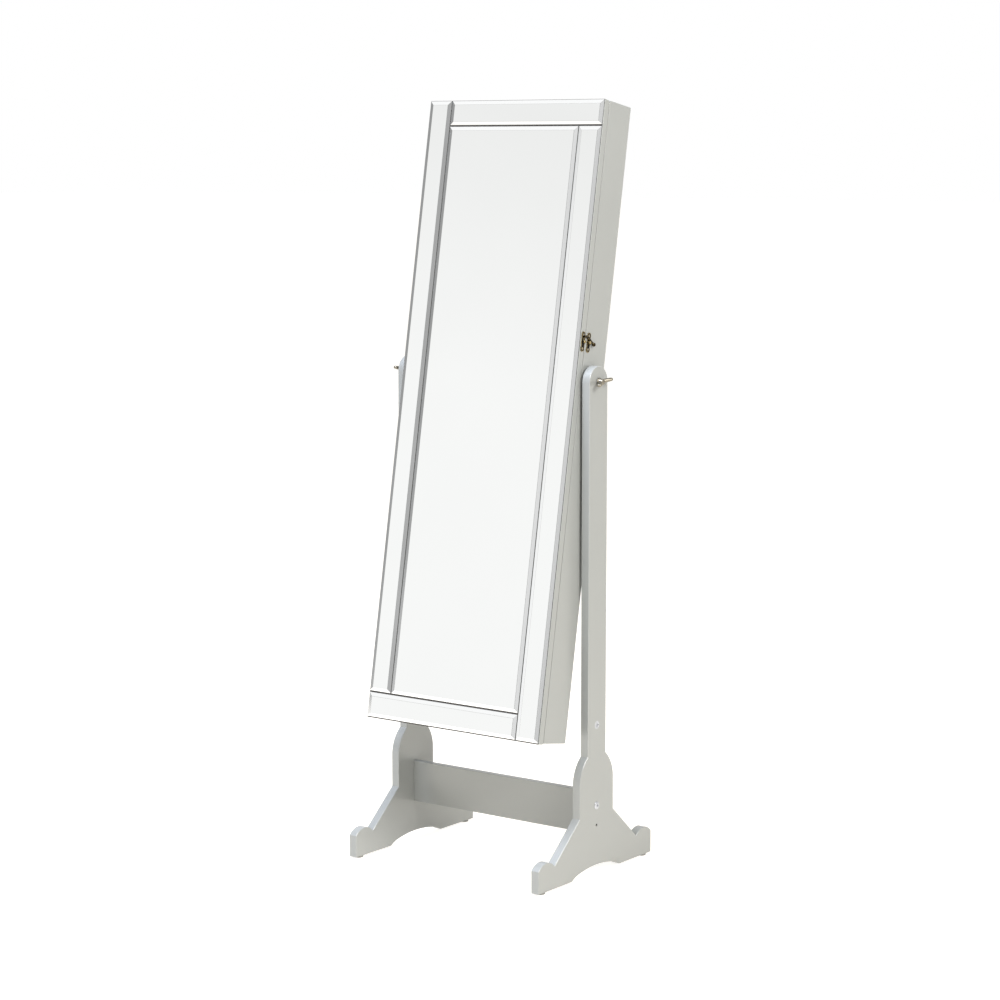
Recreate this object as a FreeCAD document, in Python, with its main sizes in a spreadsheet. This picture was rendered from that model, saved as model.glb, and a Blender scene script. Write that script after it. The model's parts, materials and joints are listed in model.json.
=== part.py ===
"""Tilting cheval floor mirror with a shallow jewellery cabinet behind its mirrored door.

Row frame: millimetres, +X to the right, +Y to the back, +Z up, origin on the floor at the centre of the feet.
The cabinet leans back by `tilt` about the pivot line, so its pieces are placed in a frame of their own:
X as in the row, Y from the pivot towards the cabinet's back, Z from the pivot towards its top.
"""
import FreeCAD, Part
import math
import os
import re
import Sketcher

SIZES = [
    # stand
    ("stand_width", 475.0),            # over the outer faces of the two side frames
    ("panel_thick", 18.0),             # foot panels and posts
    ("foot_depth", 396.0),             # toe to toe, front to back
    ("toe_height", 49.0),              # top of the toe's upright end
    ("toe_bump", 54.0),                # toe end to the valley behind its bump
    ("toe_bump_radius", 36.0),
    ("valley_height", 49.5),
    ("waist_width", 117.0),            # upright part of the foot panel
    ("waist_height", 124.0),           # where the straight slope meets it
    ("shoulder_start", 189.0),         # where the shoulder starts to round in
    ("shoulder_radius", 70.0),
    ("seam_height", 244.5),            # post stands on the foot panel here
    ("arch_width", 168.0),             # cut-out under the foot
    ("arch_crown_width", 120.0),
    ("arch_crown_height", 13.7),
    ("arch_crown_radius", 276.0),
    ("arch_end_radius", 72.0),
    ("post_width", 62.0),
    ("pivot_height", 987.0),
    ("panel_edge_chamfer", 0.8),
    ("stretcher_thick", 15.0),
    ("stretcher_high", 86.0),
    ("stretcher_bottom", 84.0),
    # glides
    ("glide_high", 4.0),
    ("glide_radius", 8.5),
    ("glide_round", 1.2),
    ("glide_inset", 20.0),
    ("nail_radius", 1.3),
    ("nail_length", 12.0),
    # joint of post and foot panel
    ("cam_radius", 8.0),
    ("cam_deep", 12.5),
    ("cam_height", 305.0),
    ("cam_slot_long", 11.0),
    ("cam_slot_wide", 1.8),
    ("cam_slot_deep", 1.2),
    ("cam_bolt_radius", 3.0),
    ("cam_bolt_grip", 16.0),           # depth in the foot panel
    ("cam_bolt_overrun", 2.5),         # past the cam's centre
    ("dowel_radius", 4.0),
    ("dowel_length", 40.0),
    ("dowel_spread", 36.0),
    # joint of stretcher and foot panel
    ("tie_height", 141.5),
    ("tie_head_radius", 8.0),
    ("tie_head_high", 2.2),
    ("tie_head_round", 1.2),
    ("tie_radius", 3.0),
    ("tie_reach", 32.0),               # depth in the stretcher
    ("hex_radius", 2.3),
    ("hex_deep", 1.8),
    ("barrel_radius", 5.0),
    ("barrel_length", 13.0),
    ("barrel_inset", 25.0),
    ("pin_height", 101.5),
    ("pin_radius", 3.0),
    ("pin_length", 30.0),
    ("pin_in_panel", 9.0),
    # cabinet
    ("tilt", 10.0),
    ("side_gap", 5.5),                 # post to cabinet, filled by the spacer at the pivot
    ("cabinet_depth", 75.0),
    ("cabinet_height", 1258.5),
    ("cabinet_over_pivot", 547.0),
    ("cabinet_before_pivot", 26.4),
    ("side_thick", 12.0),
    ("end_thick", 12.0),
    ("back_thick", 5.0),
    ("back_recess", 0.5),
    ("lining_thick", 2.5),
    ("board_edge_round", 1.0),
    ("carcass_dowel_length", 26.0),
    ("carcass_dowel_deep", 8.4),       # in the side board
    ("shelf_thick", 9.0),
    ("shelf_setback", 6.0),
    ("shelf_drop_1", 397.0),           # cabinet top down to each shelf's upper face
    ("shelf_drop_2", 797.0),
    ("shelf_drop_3", 997.0),
    ("rail_thick", 4.0),
    ("rail_high", 14.0),
    ("rail_lift", 12.0),
    ("hook_rail_high", 30.0),
    ("hook_rail_thick", 10.0),
    ("hook_rail_drop", 37.0),
    ("hook_reach", 24.0),
    ("hook_turnup", 9.0),
    ("hook_radius", 1.6),
    ("hook_knob_radius", 2.4),
    ("cushion_end_gap", 13.0),
    ("cushion_high", 86.0),
    ("cushion_thick", 20.0),
    ("cushion_gap", 6.0),
    ("cushion_drop", 414.0),
    ("strip_high", 22.0),
    ("strip_thick", 3.0),
    ("strip_forward", 30.0),           # lining to the strip's back
    ("strip_drop_1", 615.0),
    ("strip_drop_2", 695.0),
    ("strip_hole_radius", 1.5),
    # pivots
    ("block_thick", 16.0),
    ("block_high", 70.0),
    ("block_deep", 52.0),
    ("insert_radius", 6.0),
    ("insert_length", 22.0),
    ("bolt_radius", 4.0),
    ("bolt_clearance", 0.05),
    ("bolt_engage", 18.0),             # shank inside the threaded insert
    ("spacer_radius", 12.0),
    ("spacer_gap", 0.3),
    ("bush_radius", 6.0),
    # wing bolts
    ("collar_radius", 8.0),
    ("collar_thick", 2.0),
    ("hub_radius", 7.2),
    ("hub_tip_radius", 5.6),
    ("hub_length", 11.0),
    ("wing_reach", 26.0),              # hub axis to the wing's tip
    ("wing_rise", 22.0),               # collar to the wing's tip
    ("wing_root", 4.5),
    ("wing_tip_radius", 5.2),
    ("wing_tip_chord", 10.0),
    ("wing_thick", 6.0),
    ("wing_valley", 9.5),              # collar to the bottom of the V
    ("wing_round", 1.8),
    ("bolt_turn_right", 8.0),
    ("bolt_turn_left", 16.0),
    # door
    ("door_drop", 1.5),                # the door reaches below the cabinet's bottom
    ("door_thick", 15.0),
    ("door_gap", 1.0),
    ("door_lining_thick", 2.0),
    ("door_lining_margin", 22.0),
    ("bumper_radius", 4.0),
    ("bumper_thick", 0.6),
    ("bumper_inset", 6.0),
    ("bumper_end_inset", 40.0),
    # mirror tiles
    ("glass_thick", 4.0),
    ("tile_side", 55.0),               # width of the left and right strips
    ("tile_end", 52.0),                # height of the top and bottom strips
    ("tile_gap", 0.3),
    ("bevel_wide", 9.0),
    ("bevel_deep", 2.0),
    # hinges
    ("hinge_high", 50.0),
    ("hinge_end_inset", 110.0),
    ("leaf_thick", 1.2),
    ("leaf_on_side", 18.0),
    ("leaf_front_inset", 0.5),         # door board's front to the leaf
    ("knuckle_radius", 2.6),
    ("knuckle_gap", 0.3),
    ("knuckle_before_seam", 5.0),      # hinge line to the back of the door board
    ("knuckle_relief", 0.5),
    ("hinge_pin_radius", 1.2),
    ("hinge_pin_clearance", 0.05),
    ("screw_radius", 1.3),
    ("screw_head_radius", 2.3),
    ("screw_head_deep", 0.9),
    ("screw_length", 11.0),
    ("hinge_screw_spread", 32.0),
    ("hinge_screw_back", 10.8),        # cabinet's front edge to the screws
    # latch
    ("latch_height", 74.0),            # pivot line to the latch's middle
    ("latch_plate_thick", 1.2),
    ("latch_plate_spread", 27.0),      # between the two screws
    ("latch_lobe_radius", 6.2),
    ("latch_bar_width", 8.5),
    ("latch_pivot_back", 10.9),        # cabinet's front edge to the arm's pivot
    ("latch_pin_radius", 1.5),
    ("latch_pin_clearance", 0.05),
    ("latch_head_radius", 3.2),
    ("latch_head_high", 1.8),
    ("latch_arm_lift", 0.7),           # plate to arm
    ("latch_arm_thick", 2.2),
    ("latch_boss_radius", 4.6),
    ("latch_hook_radius", 11.0),       # middle of the hook's bar
    ("latch_hook_width", 3.6),
    ("latch_stud_gap", 0.3),
    ("latch_head_gap", 0.4),
    ("latch_beak_turn", 15.0),         # degrees past the level of the hook's centre
    ("latch_tail_root", 53.0),         # degrees round the hook from the pivot
    ("latch_tail_length", 16.5),
    ("latch_tail_width", 5.4),
    ("latch_tail_angle", 35.0),
    ("latch_ball_sunk", 1.1),          # ball into the tail's end
    ("latch_ball_radius", 4.0),
    ("cut_past", 1.0),                 # how far a cutting shape reaches past the face
]
DERIVED = {
    "cabinet_width": "(stand_width - 2 * (panel_thick + side_gap))",
    "inside_width": "(stand_width - 2 * (panel_thick + side_gap + side_thick))",
    "door_height": "(cabinet_height + door_drop)",
}
HOOKS = 11
EARRING_HOLES = 23

ALIASES = {alias for alias, number in SIZES}
PARTS = []


def formula(text):
    """A formula of size names becomes one that reads the sheet's cells."""
    for name, meaning in DERIVED.items():
        text = text.replace(name, meaning)
    return re.sub(r"[a-z][a-z_0-9]*", lambda word: f"Sizes.{word[0]}" if word[0] in ALIASES else word[0],
                  text)


def make_sheet():
    sheet = doc.addObject("Spreadsheet::Sheet", "Sizes")
    for row, (alias, number) in enumerate(SIZES, start=1):
        sheet.set(f"A{row}", alias)
        sheet.set(f"B{row}", str(number))
        sheet.setAlias(f"B{row}", alias)
    doc.recompute()
    return sheet


def value(text):
    return float(sheet.evalExpression(formula(text)))


def make(kind, name, **sizes):
    """An object of the document with its sizes bound to formulas."""
    thing = doc.addObject(kind, name)
    for size, text in sizes.items():
        thing.setExpression(size, formula(text))
    return thing


# ---- frames and placing

AXES = {"X": "1; 0; 0", "Y": "0; 1; 0", "Z": "0; 0; 1"}


def frame(x="0", y="0", z="0", axis="X", angle="0"):
    return formula(f"create(<<placement>>; create(<<vector>>; {x}; {y}; {z}); "
                   f"create(<<rotation>>; create(<<vector>>; {AXES[axis]}); {angle}))")


STAND = frame()
CABINET = frame(z="pivot_height", angle="-tilt")
POINTING = {"X": ("Y", "90"), "Y": ("X", "-90"), "Z": ("Z", "0")}


def place(thing, *frames):
    thing.setExpression("Placement", " * ".join(frames))
    return thing


def low_x(side, near, width):
    """Low X of a piece `width` wide whose face nearest the middle is `near` from it."""
    return near if side > 0 else f"-({near}) - ({width})"


def block(name, home, x, y, z, dx, dy, dz):
    return place(make("Part::Box", name, Length=dx, Width=dy, Height=dz), home, frame(x, y, z))


def rod(name, home, x, y, z, along, radius, length):
    thing = make("Part::Cylinder", name, Radius=radius, Height=length)
    return place(thing, home, frame(x, y, z), frame(axis=POINTING[along][0], angle=POINTING[along][1]))


def ball(name, home, x, y, z, radius):
    return place(make("Part::Sphere", name, Radius=radius), home, frame(x, y, z))


def group(name, things):
    thing = doc.addObject("Part::Compound", name)
    thing.Links = things
    return thing


def fuse(name, things):
    thing = doc.addObject("Part::MultiFuse", name)
    thing.Shapes = things
    thing.Refine = True
    return thing


def cut(name, base, tools):
    thing = doc.addObject("Part::Cut", name)
    thing.Base = base
    thing.Tool = tools[0] if len(tools) == 1 else group(name + "_holes", tools)
    return thing


def part(label, thing):
    thing.Label = label
    PARTS.append(thing)
    return thing


# ---- bodies made from a sketch

def outline(body, plane, corners):
    """Closed sketch through the corners, each (across, up). A corner with (radius, bulge) after it starts an
    arc to the next one, which bulges to the left (1) or right (-1) of the way round."""
    sketch = body.newObject("Sketcher::SketchObject", body.Name + "_outline")
    sketch.AttachmentSupport = [(next(f for f in body.Origin.OriginFeatures if f.Role == plane), "")]
    sketch.MapMode = "FlatFace"
    points = [FreeCAD.Vector(value(corner[0]), value(corner[1]), 0) for corner in corners]
    stretches = []
    for number, corner in enumerate(corners):
        start, stop = points[number], points[(number + 1) % len(points)]
        if len(corner) == 2:
            index = sketch.addGeometry(Part.LineSegment(start, stop))
        else:
            radius, bulge, chord = value(corner[2]), corner[3], stop - start
            left = FreeCAD.Vector(-chord.y, chord.x, 0).normalize()
            centre = (start + stop) * 0.5 - left * (bulge * math.sqrt(radius ** 2 - (chord.Length / 2) ** 2))
            first, last = (stop, start) if bulge > 0 else (start, stop)
            angles = [math.atan2(end.y - centre.y, end.x - centre.x) for end in (first, last)]
            circle = Part.Circle(centre, FreeCAD.Vector(0, 0, 1), radius)
            index = sketch.addGeometry(Part.ArcOfCircle(circle, angles[0], angles[1]))
        backwards = len(corner) > 2 and corner[3] > 0
        stretches.append((index, 2, 1) if backwards else (index, 1, 2))
    for number, corner in enumerate(corners):
        index, start, stop = stretches[number]
        following = stretches[(number + 1) % len(stretches)]
        sketch.addConstraint(Sketcher.Constraint("Coincident", index, stop, following[0], following[1]))
        bind(sketch, f"across_{number}", corner[0], "DistanceX", -1, 1, index, start)
        bind(sketch, f"up_{number}", corner[1], "DistanceY", -1, 1, index, start)
        if len(corner) > 2:
            bind(sketch, f"radius_{number}", corner[2], "Radius", index)
    return sketch


def bind(sketch, name, text, kind, *where):
    number = sketch.addConstraint(Sketcher.Constraint(kind, *where, value(text)))
    sketch.renameConstraint(number, name)
    sketch.setExpression("Constraints." + name, formula(text))


def padded(name, plane, corners, length, midplane=False):
    body = doc.addObject("PartDesign::Body", name)
    sketch = outline(body, plane, corners)
    pad = body.newObject("PartDesign::Pad", name + "_pad")
    pad.Profile = sketch
    pad.SideType = "Symmetric" if midplane else "One side"
    pad.setExpression("Length", formula(length))
    return body, pad


def rounded(body, pad, radius):
    """Rounds every edge of the pad."""
    fillet = body.newObject("PartDesign::Fillet", body.Name + "_round")
    fillet.Base = (pad, ["Edge1"])
    fillet.UseAllEdges = True
    fillet.setExpression("Radius", formula(radius))
    body.Tip = fillet
    return body


def board(name, home, x, y, z, dx, dy, dz, radius="board_edge_round"):
    """A board with softened edges."""
    corners = [("0", "0"), (dx, "0"), (dx, dy), ("0", dy)]
    body, pad = padded(name, "XY_Plane", corners, dz)
    return place(rounded(body, pad, radius), home, frame(x, y, z))


def side_panel(name, side, corners):
    """A board cut to an outline seen from the side. Its edges are chamfered, except along the seam."""
    body, pad = padded(name, "YZ_Plane", corners, "panel_thick")
    doc.recompute()
    seam = value("seam_height")
    edges = []
    for number, edge in enumerate(pad.Shape.Edges, start=1):
        box = edge.BoundBox
        on_seam = abs(box.ZMin - seam) < 0.01 and abs(box.ZMax - seam) < 0.01
        if box.XLength < 0.01 and not on_seam:
            edges.append(f"Edge{number}")
    chamfer = body.newObject("PartDesign::Chamfer", name + "_chamfer")
    chamfer.Base = (pad, edges)
    chamfer.setExpression("Size", formula("panel_edge_chamfer"))
    body.Tip = chamfer
    return place(body, STAND, frame(x=low_x(side, PANEL_IN, "panel_thick")))


def names(side):
    return "right" if side > 0 else "left"


PANEL_IN = "stand_width / 2 - panel_thick"
PANEL_MIDDLE = "stand_width / 2 - panel_thick / 2"


# ---- stand

def foot_outline():
    """Toe, bump, slope, waist and shoulder from the front, round to the back, then the arch underneath."""
    toe, valley, waist = "foot_depth / 2", "(foot_depth / 2 - toe_bump)", "waist_width / 2"
    post, arch, crown = "post_width / 2", "arch_width / 2", "arch_crown_width / 2"
    front = [
        (f"-{toe}", "glide_high"),
        (f"-{toe}", "toe_height", "toe_bump_radius", 1),
        (f"-{valley}", "valley_height"),
        (f"-{waist}", "waist_height"),
        (f"-{waist}", "shoulder_start", "shoulder_radius", 1),
        (f"-{post}", "seam_height"),
    ]
    back = [
        (post, "seam_height", "shoulder_radius", 1),
        (waist, "shoulder_start"),
        (waist, "waist_height"),
        (valley, "valley_height", "toe_bump_radius", 1),
        (toe, "toe_height"),
        (toe, "glide_high"),
    ]
    under = [
        (arch, "glide_high", "arch_end_radius", -1),
        (crown, "arch_crown_height", "arch_crown_radius", -1),
        (f"-{crown}", "arch_crown_height", "arch_end_radius", -1),
        (f"-{arch}", "glide_high"),
    ]
    return front + back + under


def post_outline():
    half = "post_width / 2"
    return [
        (f"-{half}", "seam_height"),
        (f"-{half}", "pivot_height", half, 1),
        ("0", f"pivot_height + {half}", half, 1),
        (half, "pivot_height"),
        (half, "seam_height"),
    ]


def glide(name, side, end):
    x, y = f"{side} * ({PANEL_MIDDLE})", f"{end} * (foot_depth / 2 - glide_inset)"
    foot = rod(name + "_disc", STAND, x, y, "0", "Z", "glide_radius - glide_round", "glide_high")
    rim = rod(name + "_rim", STAND, x, y, "glide_round", "Z", "glide_radius", "glide_high - glide_round")
    sweep = make("Part::Torus", name + "_edge", Radius1="glide_radius - glide_round", Radius2="glide_round")
    place(sweep, STAND, frame(x, y, "glide_round"))
    nail = rod(name + "_nail", STAND, x, y, "glide_high", "Z", "nail_radius", "nail_length")
    return fuse(name, [foot, rim, sweep, nail])


def cam(side):
    x = low_x(side, "stand_width / 2 - cam_deep", "cam_deep")
    disc = rod(f"cam_disc_{names(side)}", STAND, x, "0", "cam_height", "X", "cam_radius", "cam_deep")
    slot_x = low_x(side, "stand_width / 2 - cam_slot_deep", "cam_slot_deep")
    along, wide = "cam_slot_long", "cam_slot_wide"
    slots = [
        block(f"cam_slot_up_{names(side)}", STAND, slot_x, f"-{wide} / 2", f"cam_height - {along} / 2",
              "cam_slot_deep", wide, along),
        block(f"cam_slot_level_{names(side)}", STAND, slot_x, f"-{along} / 2", f"cam_height - {wide} / 2",
              "cam_slot_deep", along, wide),
    ]
    return disc, slots


def tie_bolt(side):
    """Connecting bolt with a broad low head on the foot panel's outer face."""
    tag, face = names(side), "stand_width / 2"
    shank = rod(f"tie_shank_{tag}", STAND, low_x(side, f"{PANEL_IN} - tie_reach",
                                                 "tie_reach + panel_thick"), "0",
                "tie_height", "X", "tie_radius", "tie_reach + panel_thick")
    rim = rod(f"tie_rim_{tag}", STAND, low_x(side, face, "tie_head_high - tie_head_round"), "0",
              "tie_height", "X",
              "tie_head_radius", "tie_head_high - tie_head_round")
    crown = make("Part::Cone", f"tie_crown_{tag}", Radius1="tie_head_radius",
                 Radius2="tie_head_radius - tie_head_round", Height="tie_head_round")
    place(crown, STAND, frame(f"{side} * ({face} + tie_head_high - tie_head_round)", "0", "tie_height"),
          frame(axis="Y", angle=f"{side} * 90"))
    socket = make("Part::Prism", f"tie_socket_{tag}", Circumradius="hex_radius", Height="hex_deep")
    socket.Polygon = 6
    place(socket, STAND, frame(low_x(side, f"{face} + tie_head_high - hex_deep", "hex_deep"), "0",
                               "tie_height"),
          frame(axis="Y", angle="90"))
    whole = fuse(f"tie_whole_{tag}", [shank, rim, crown])
    return whole, cut(f"tie_bolt_{tag}", whole, [socket])


def build_stand():
    glides, cams, cam_bolts, dowels, ties, barrels, pins, bushes = ([] for kind in range(8))
    stretcher_holes = []
    for side in (-1, 1):
        tag = names(side)
        feet = [glide(f"glide_{tag}_{end_name}", side, end) for end_name,
                end in (("front", -1), ("back", 1))]
        middle = f"{side} * ({PANEL_MIDDLE})"
        bolt = rod(f"cam_bolt_{tag}", STAND, middle, "0", "seam_height - cam_bolt_grip", "Z",
                   "cam_bolt_radius",
                   "cam_height + cam_bolt_overrun - seam_height + cam_bolt_grip")
        disc, slots = cam(side)
        pegs = [rod(f"dowel_{tag}_{number}", STAND, middle, f"{end} * dowel_spread / 2",
                    "seam_height - dowel_length / 2", "Z", "dowel_radius", "dowel_length")
                for number, end in enumerate((-1, 1), start=1)]
        tie_whole, tie = tie_bolt(side)
        barrel_bore = rod(f"barrel_bore_{tag}", STAND, f"{side} * ({PANEL_IN} - barrel_inset)",
                          "stretcher_thick / 2 - barrel_length", "tie_height", "Y", "barrel_radius",
                          "barrel_length")
        pin = rod(f"pin_{tag}", STAND, low_x(side, f"{PANEL_IN} + pin_in_panel - pin_length",
                                             "pin_length"), "0",
                  "pin_height", "X", "pin_radius", "pin_length")
        pin_hole = rod(f"pin_hole_{tag}", STAND, low_x(side, PANEL_IN, "panel_thick"), "0", "pin_height",
                       "X",
                       "pin_radius", "panel_thick")
        bush = rod(f"bush_outer_{tag}", STAND, low_x(side, PANEL_IN, "panel_thick"), "0", "pivot_height",
                   "X",
                   "bush_radius", "panel_thick")
        bush_bore = rod(f"bush_bore_{tag}", STAND, low_x(side, PANEL_IN, "panel_thick"), "0",
                        "pivot_height", "X",
                        "bolt_radius + bolt_clearance", "panel_thick")
        foot = side_panel(f"foot_blank_{tag}", side, foot_outline())
        post = side_panel(f"post_blank_{tag}", side, post_outline())
        part(f"foot_panel_{tag}", cut(f"foot_cut_{tag}", foot, feet + [bolt, tie_whole, pin_hole] + pegs))
        part(f"post_{tag}", cut(f"post_cut_{tag}", post, [disc, bolt, bush] + pegs))
        glides += feet
        cams.append(cut(f"cam_{tag}", disc, [bolt] + slots))
        cam_bolts.append(bolt)
        dowels += pegs
        ties.append(tie)
        barrels.append(cut(f"barrel_nut_{tag}", barrel_bore, [tie_whole]))
        pins.append(pin)
        bushes.append(cut(f"bush_{tag}", bush, [bush_bore]))
        stretcher_holes += [tie_whole, barrel_bore, pin]
    blank = board("stretcher_blank", STAND, f"-({PANEL_IN})", "-stretcher_thick / 2", "stretcher_bottom",
                  f"2 * ({PANEL_IN})", "stretcher_thick", "stretcher_high", "panel_edge_chamfer")
    part("stretcher", cut("stretcher_cut", blank, stretcher_holes))
    for label, things in (("glides", glides), ("cam_locks", cams), ("cam_bolts", cam_bolts),
                          ("shoulder_dowels", dowels), ("stretcher_bolts", ties), ("barrel_nuts", barrels),
                          ("stretcher_pins", pins), ("post_bushes", bushes)):
        part(label, group(label + "_group", things))


# ---- wing bolts

def wing_bolt(side):
    """Shank through post, spacer and insert; collar, tapered hub and a pair of wings spread in a V."""
    tag = names(side)
    turn = frame(axis="X", angle=f"bolt_turn_{tag}")
    face = frame(f"{side} * (stand_width / 2 + spacer_gap)", "0", "pivot_height")
    home = f"{face} * {turn}" + ("" if side > 0 else " * " + frame(axis="Z", angle="180"))
    reach = "spacer_gap + panel_thick + side_gap + bolt_engage"
    shank = rod(f"wing_shank_{tag}", home, f"-({reach})", "0", "0", "X", "bolt_radius", reach)
    collar = rod(f"wing_collar_{tag}", home, "0", "0", "0", "X", "collar_radius", "collar_thick")
    hub = make("Part::Cone", f"wing_hub_{tag}", Radius1="hub_radius", Radius2="hub_tip_radius",
               Height="hub_length")
    place(hub, home, frame(axis="Y", angle="90"))
    step = "wing_tip_chord * cos(45)"
    half = [
        ("collar_thick / 2", "wing_root"),
        (f"wing_rise - {step}", "wing_reach", "wing_tip_radius", 1),
        ("wing_rise", f"wing_reach - {step}"),
        ("wing_valley", "wing_root / 2"),
    ]
    mirrored = [("wing_valley", "-wing_root / 2"),
                ("wing_rise", f"-(wing_reach - {step})", "wing_tip_radius", 1),
                (f"wing_rise - {step}", "-wing_reach"), ("collar_thick / 2", "-wing_root")]
    body, pad = padded(f"wing_pair_{tag}", "XY_Plane", half + mirrored, "wing_thick", midplane=True)
    wings = place(rounded(body, pad, "wing_round"), home)
    part(f"wing_bolt_{tag}", fuse(f"wing_fused_{tag}", [shank, collar, hub, wings]))


# ---- cabinet

TOP = "cabinet_over_pivot"
FLOOR = "(cabinet_over_pivot - cabinet_height)"
FRONT = "(-cabinet_before_pivot)"
BACK = "(cabinet_depth - cabinet_before_pivot)"
LINING_FRONT = f"({BACK} - back_recess - back_thick - lining_thick)"
SHELF_FRONT = f"({FRONT} + shelf_setback)"
HINGE_X = "(-cabinet_width / 2 + leaf_thick - knuckle_radius)"
HINGE_Y = f"({FRONT} - door_gap - knuckle_before_seam)"
DOOR_BACK = f"({FRONT} - door_gap)"
DOOR_FRONT = f"({DOOR_BACK} - door_thick)"
DOOR_LEAF_FRONT = f"({DOOR_FRONT} + leaf_front_inset)"
DOOR_LEAF_WIDE = f"({HINGE_Y} - knuckle_radius - knuckle_gap - {DOOR_LEAF_FRONT})"
GLASS_FRONT = f"({DOOR_FRONT} - glass_thick)"
DOOR_BOTTOM = f"({TOP} - door_height)"
HINGE_HEIGHTS = [f"{DOOR_BOTTOM} + hinge_end_inset", f"{TOP} - door_height / 2 - hinge_high / 2",
                 f"{TOP} - hinge_end_inset - hinge_high"]


def inside_board(name, y, z, dy, dz):
    return block(name, CABINET, "-inside_width / 2", y, z, "inside_width", dy, dz)


def screw(name, x, y, z, inwards):
    """Countersunk screw driven along X, its head flush with `x`."""
    sign = "" if inwards > 0 else "-"
    start = x if inwards > 0 else f"{x} - screw_length"
    shank = rod(name + "_shank", CABINET, start, y, z, "X", "screw_radius", "screw_length")
    head = make("Part::Cone", name + "_head", Radius1="screw_head_radius", Radius2="screw_radius",
                Height="screw_head_deep")
    place(head, CABINET, frame(x, y, z), frame(axis="Y", angle=sign + "90"))
    return fuse(name, [shank, head])


def screw_pair(name, x, y, middle, spread, inwards):
    return [screw(f"{name}_{end_name}", x, y, f"{middle} {sign} {spread} / 2", inwards)
            for end_name, sign in (("low", "-"), ("high", "+"))]


def hinge(number, low):
    """Leaves let in flush on the cabinet's left side and on the door's edge, three knuckles and a pin."""
    tag, outer = f"{number}", "-cabinet_width / 2"
    third = "(hinge_high / 3)"
    knuckles = [f"{low}", f"{low} + {third}", f"{low} + 2 * {third}"]
    side_leaf = block(f"side_leaf_{tag}", CABINET, outer, f"{HINGE_Y} + knuckle_radius + knuckle_gap", low,
                      "leaf_thick", f"leaf_on_side + {FRONT} - {HINGE_Y} - knuckle_radius - knuckle_gap",
                      "hinge_high")
    door_leaf = block(f"door_leaf_{tag}", CABINET, outer, DOOR_LEAF_FRONT, low, "leaf_thick", DOOR_LEAF_WIDE,
                      "hinge_high")
    pin = rod(f"hinge_pin_{tag}", CABINET, HINGE_X, HINGE_Y, low, "Z", "hinge_pin_radius", "hinge_high")
    running = rod(f"hinge_bore_{tag}", CABINET, HINGE_X, HINGE_Y, low, "Z",
                  "hinge_pin_radius + hinge_pin_clearance", "hinge_high")
    side_pieces, door_pieces = [side_leaf], [door_leaf]
    for place_number, bottom in enumerate(knuckles):
        on_door = place_number == 1
        start = f"{bottom} + knuckle_gap" if on_door else bottom
        tall = f"{third} - 2 * knuckle_gap" if on_door else third
        barrel = rod(f"knuckle_{tag}_{place_number}", CABINET, HINGE_X, HINGE_Y, start, "Z",
                     "knuckle_radius", tall)
        reach = "knuckle_radius + knuckle_gap"
        web_y = f"{HINGE_Y} - {reach}" if on_door else HINGE_Y
        web = block(f"web_{tag}_{place_number}", CABINET, outer, web_y, start, "leaf_thick", reach, tall)
        (door_pieces if on_door else side_pieces).extend([barrel, web])
    side_whole = fuse(f"side_whole_{tag}", side_pieces)
    door_whole = fuse(f"door_whole_{tag}", door_pieces)
    middle = f"{low} + hinge_high / 2"
    side_screws = screw_pair(f"side_screw_{tag}", outer, f"{FRONT} + hinge_screw_back", middle,
                             "hinge_screw_spread", 1)
    door_screws = screw_pair(f"door_screw_{tag}", outer, f"{DOOR_LEAF_FRONT} + {DOOR_LEAF_WIDE} / 2", middle,
                             "hinge_screw_spread", 1)
    relief = block(f"relief_{tag}", CABINET, f"{outer} - knuckle_relief",
                   f"{HINGE_Y} - knuckle_radius - knuckle_gap", f"{low} - knuckle_relief",
                   "leaf_thick + 2 * knuckle_relief",
                   f"{DOOR_BACK} - {HINGE_Y} + knuckle_radius + knuckle_gap + knuckle_relief",
                   "hinge_high + 2 * knuckle_relief")
    part(f"hinge_cabinet_leaf_{tag}", cut(f"side_leaf_cut_{tag}", side_whole, [pin] + side_screws))
    part(f"hinge_door_leaf_{tag}", cut(f"door_leaf_cut_{tag}", door_whole, [running] + door_screws))
    return {"pin": pin, "side_leaf": side_leaf, "door_leaf": door_leaf, "side_screws": side_screws,
            "door_screws": door_screws, "relief": relief}


def latch_plate(name, y, hole=None):
    """Plate with a round lobe at each screw and one in the middle."""
    x = "cabinet_width / 2"
    lobes = [rod(f"{name}_lobe_{number}", CABINET, x, y, f"latch_height {offset}", "X", "latch_lobe_radius",
                 "latch_plate_thick")
             for number, offset in enumerate(("- latch_plate_spread / 2", "", "+ latch_plate_spread / 2"))]
    bar = block(f"{name}_bar", CABINET, x, f"{y} - latch_bar_width / 2",
                "latch_height - latch_plate_spread / 2",
                "latch_plate_thick", "latch_bar_width", "latch_plate_spread")
    screws = screw_pair(f"{name}_screw", "cabinet_width / 2 + latch_plate_thick", y, "latch_height",
                        "latch_plate_spread", -1)
    return fuse(f"{name}_whole", lobes + [bar]), screws


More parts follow.
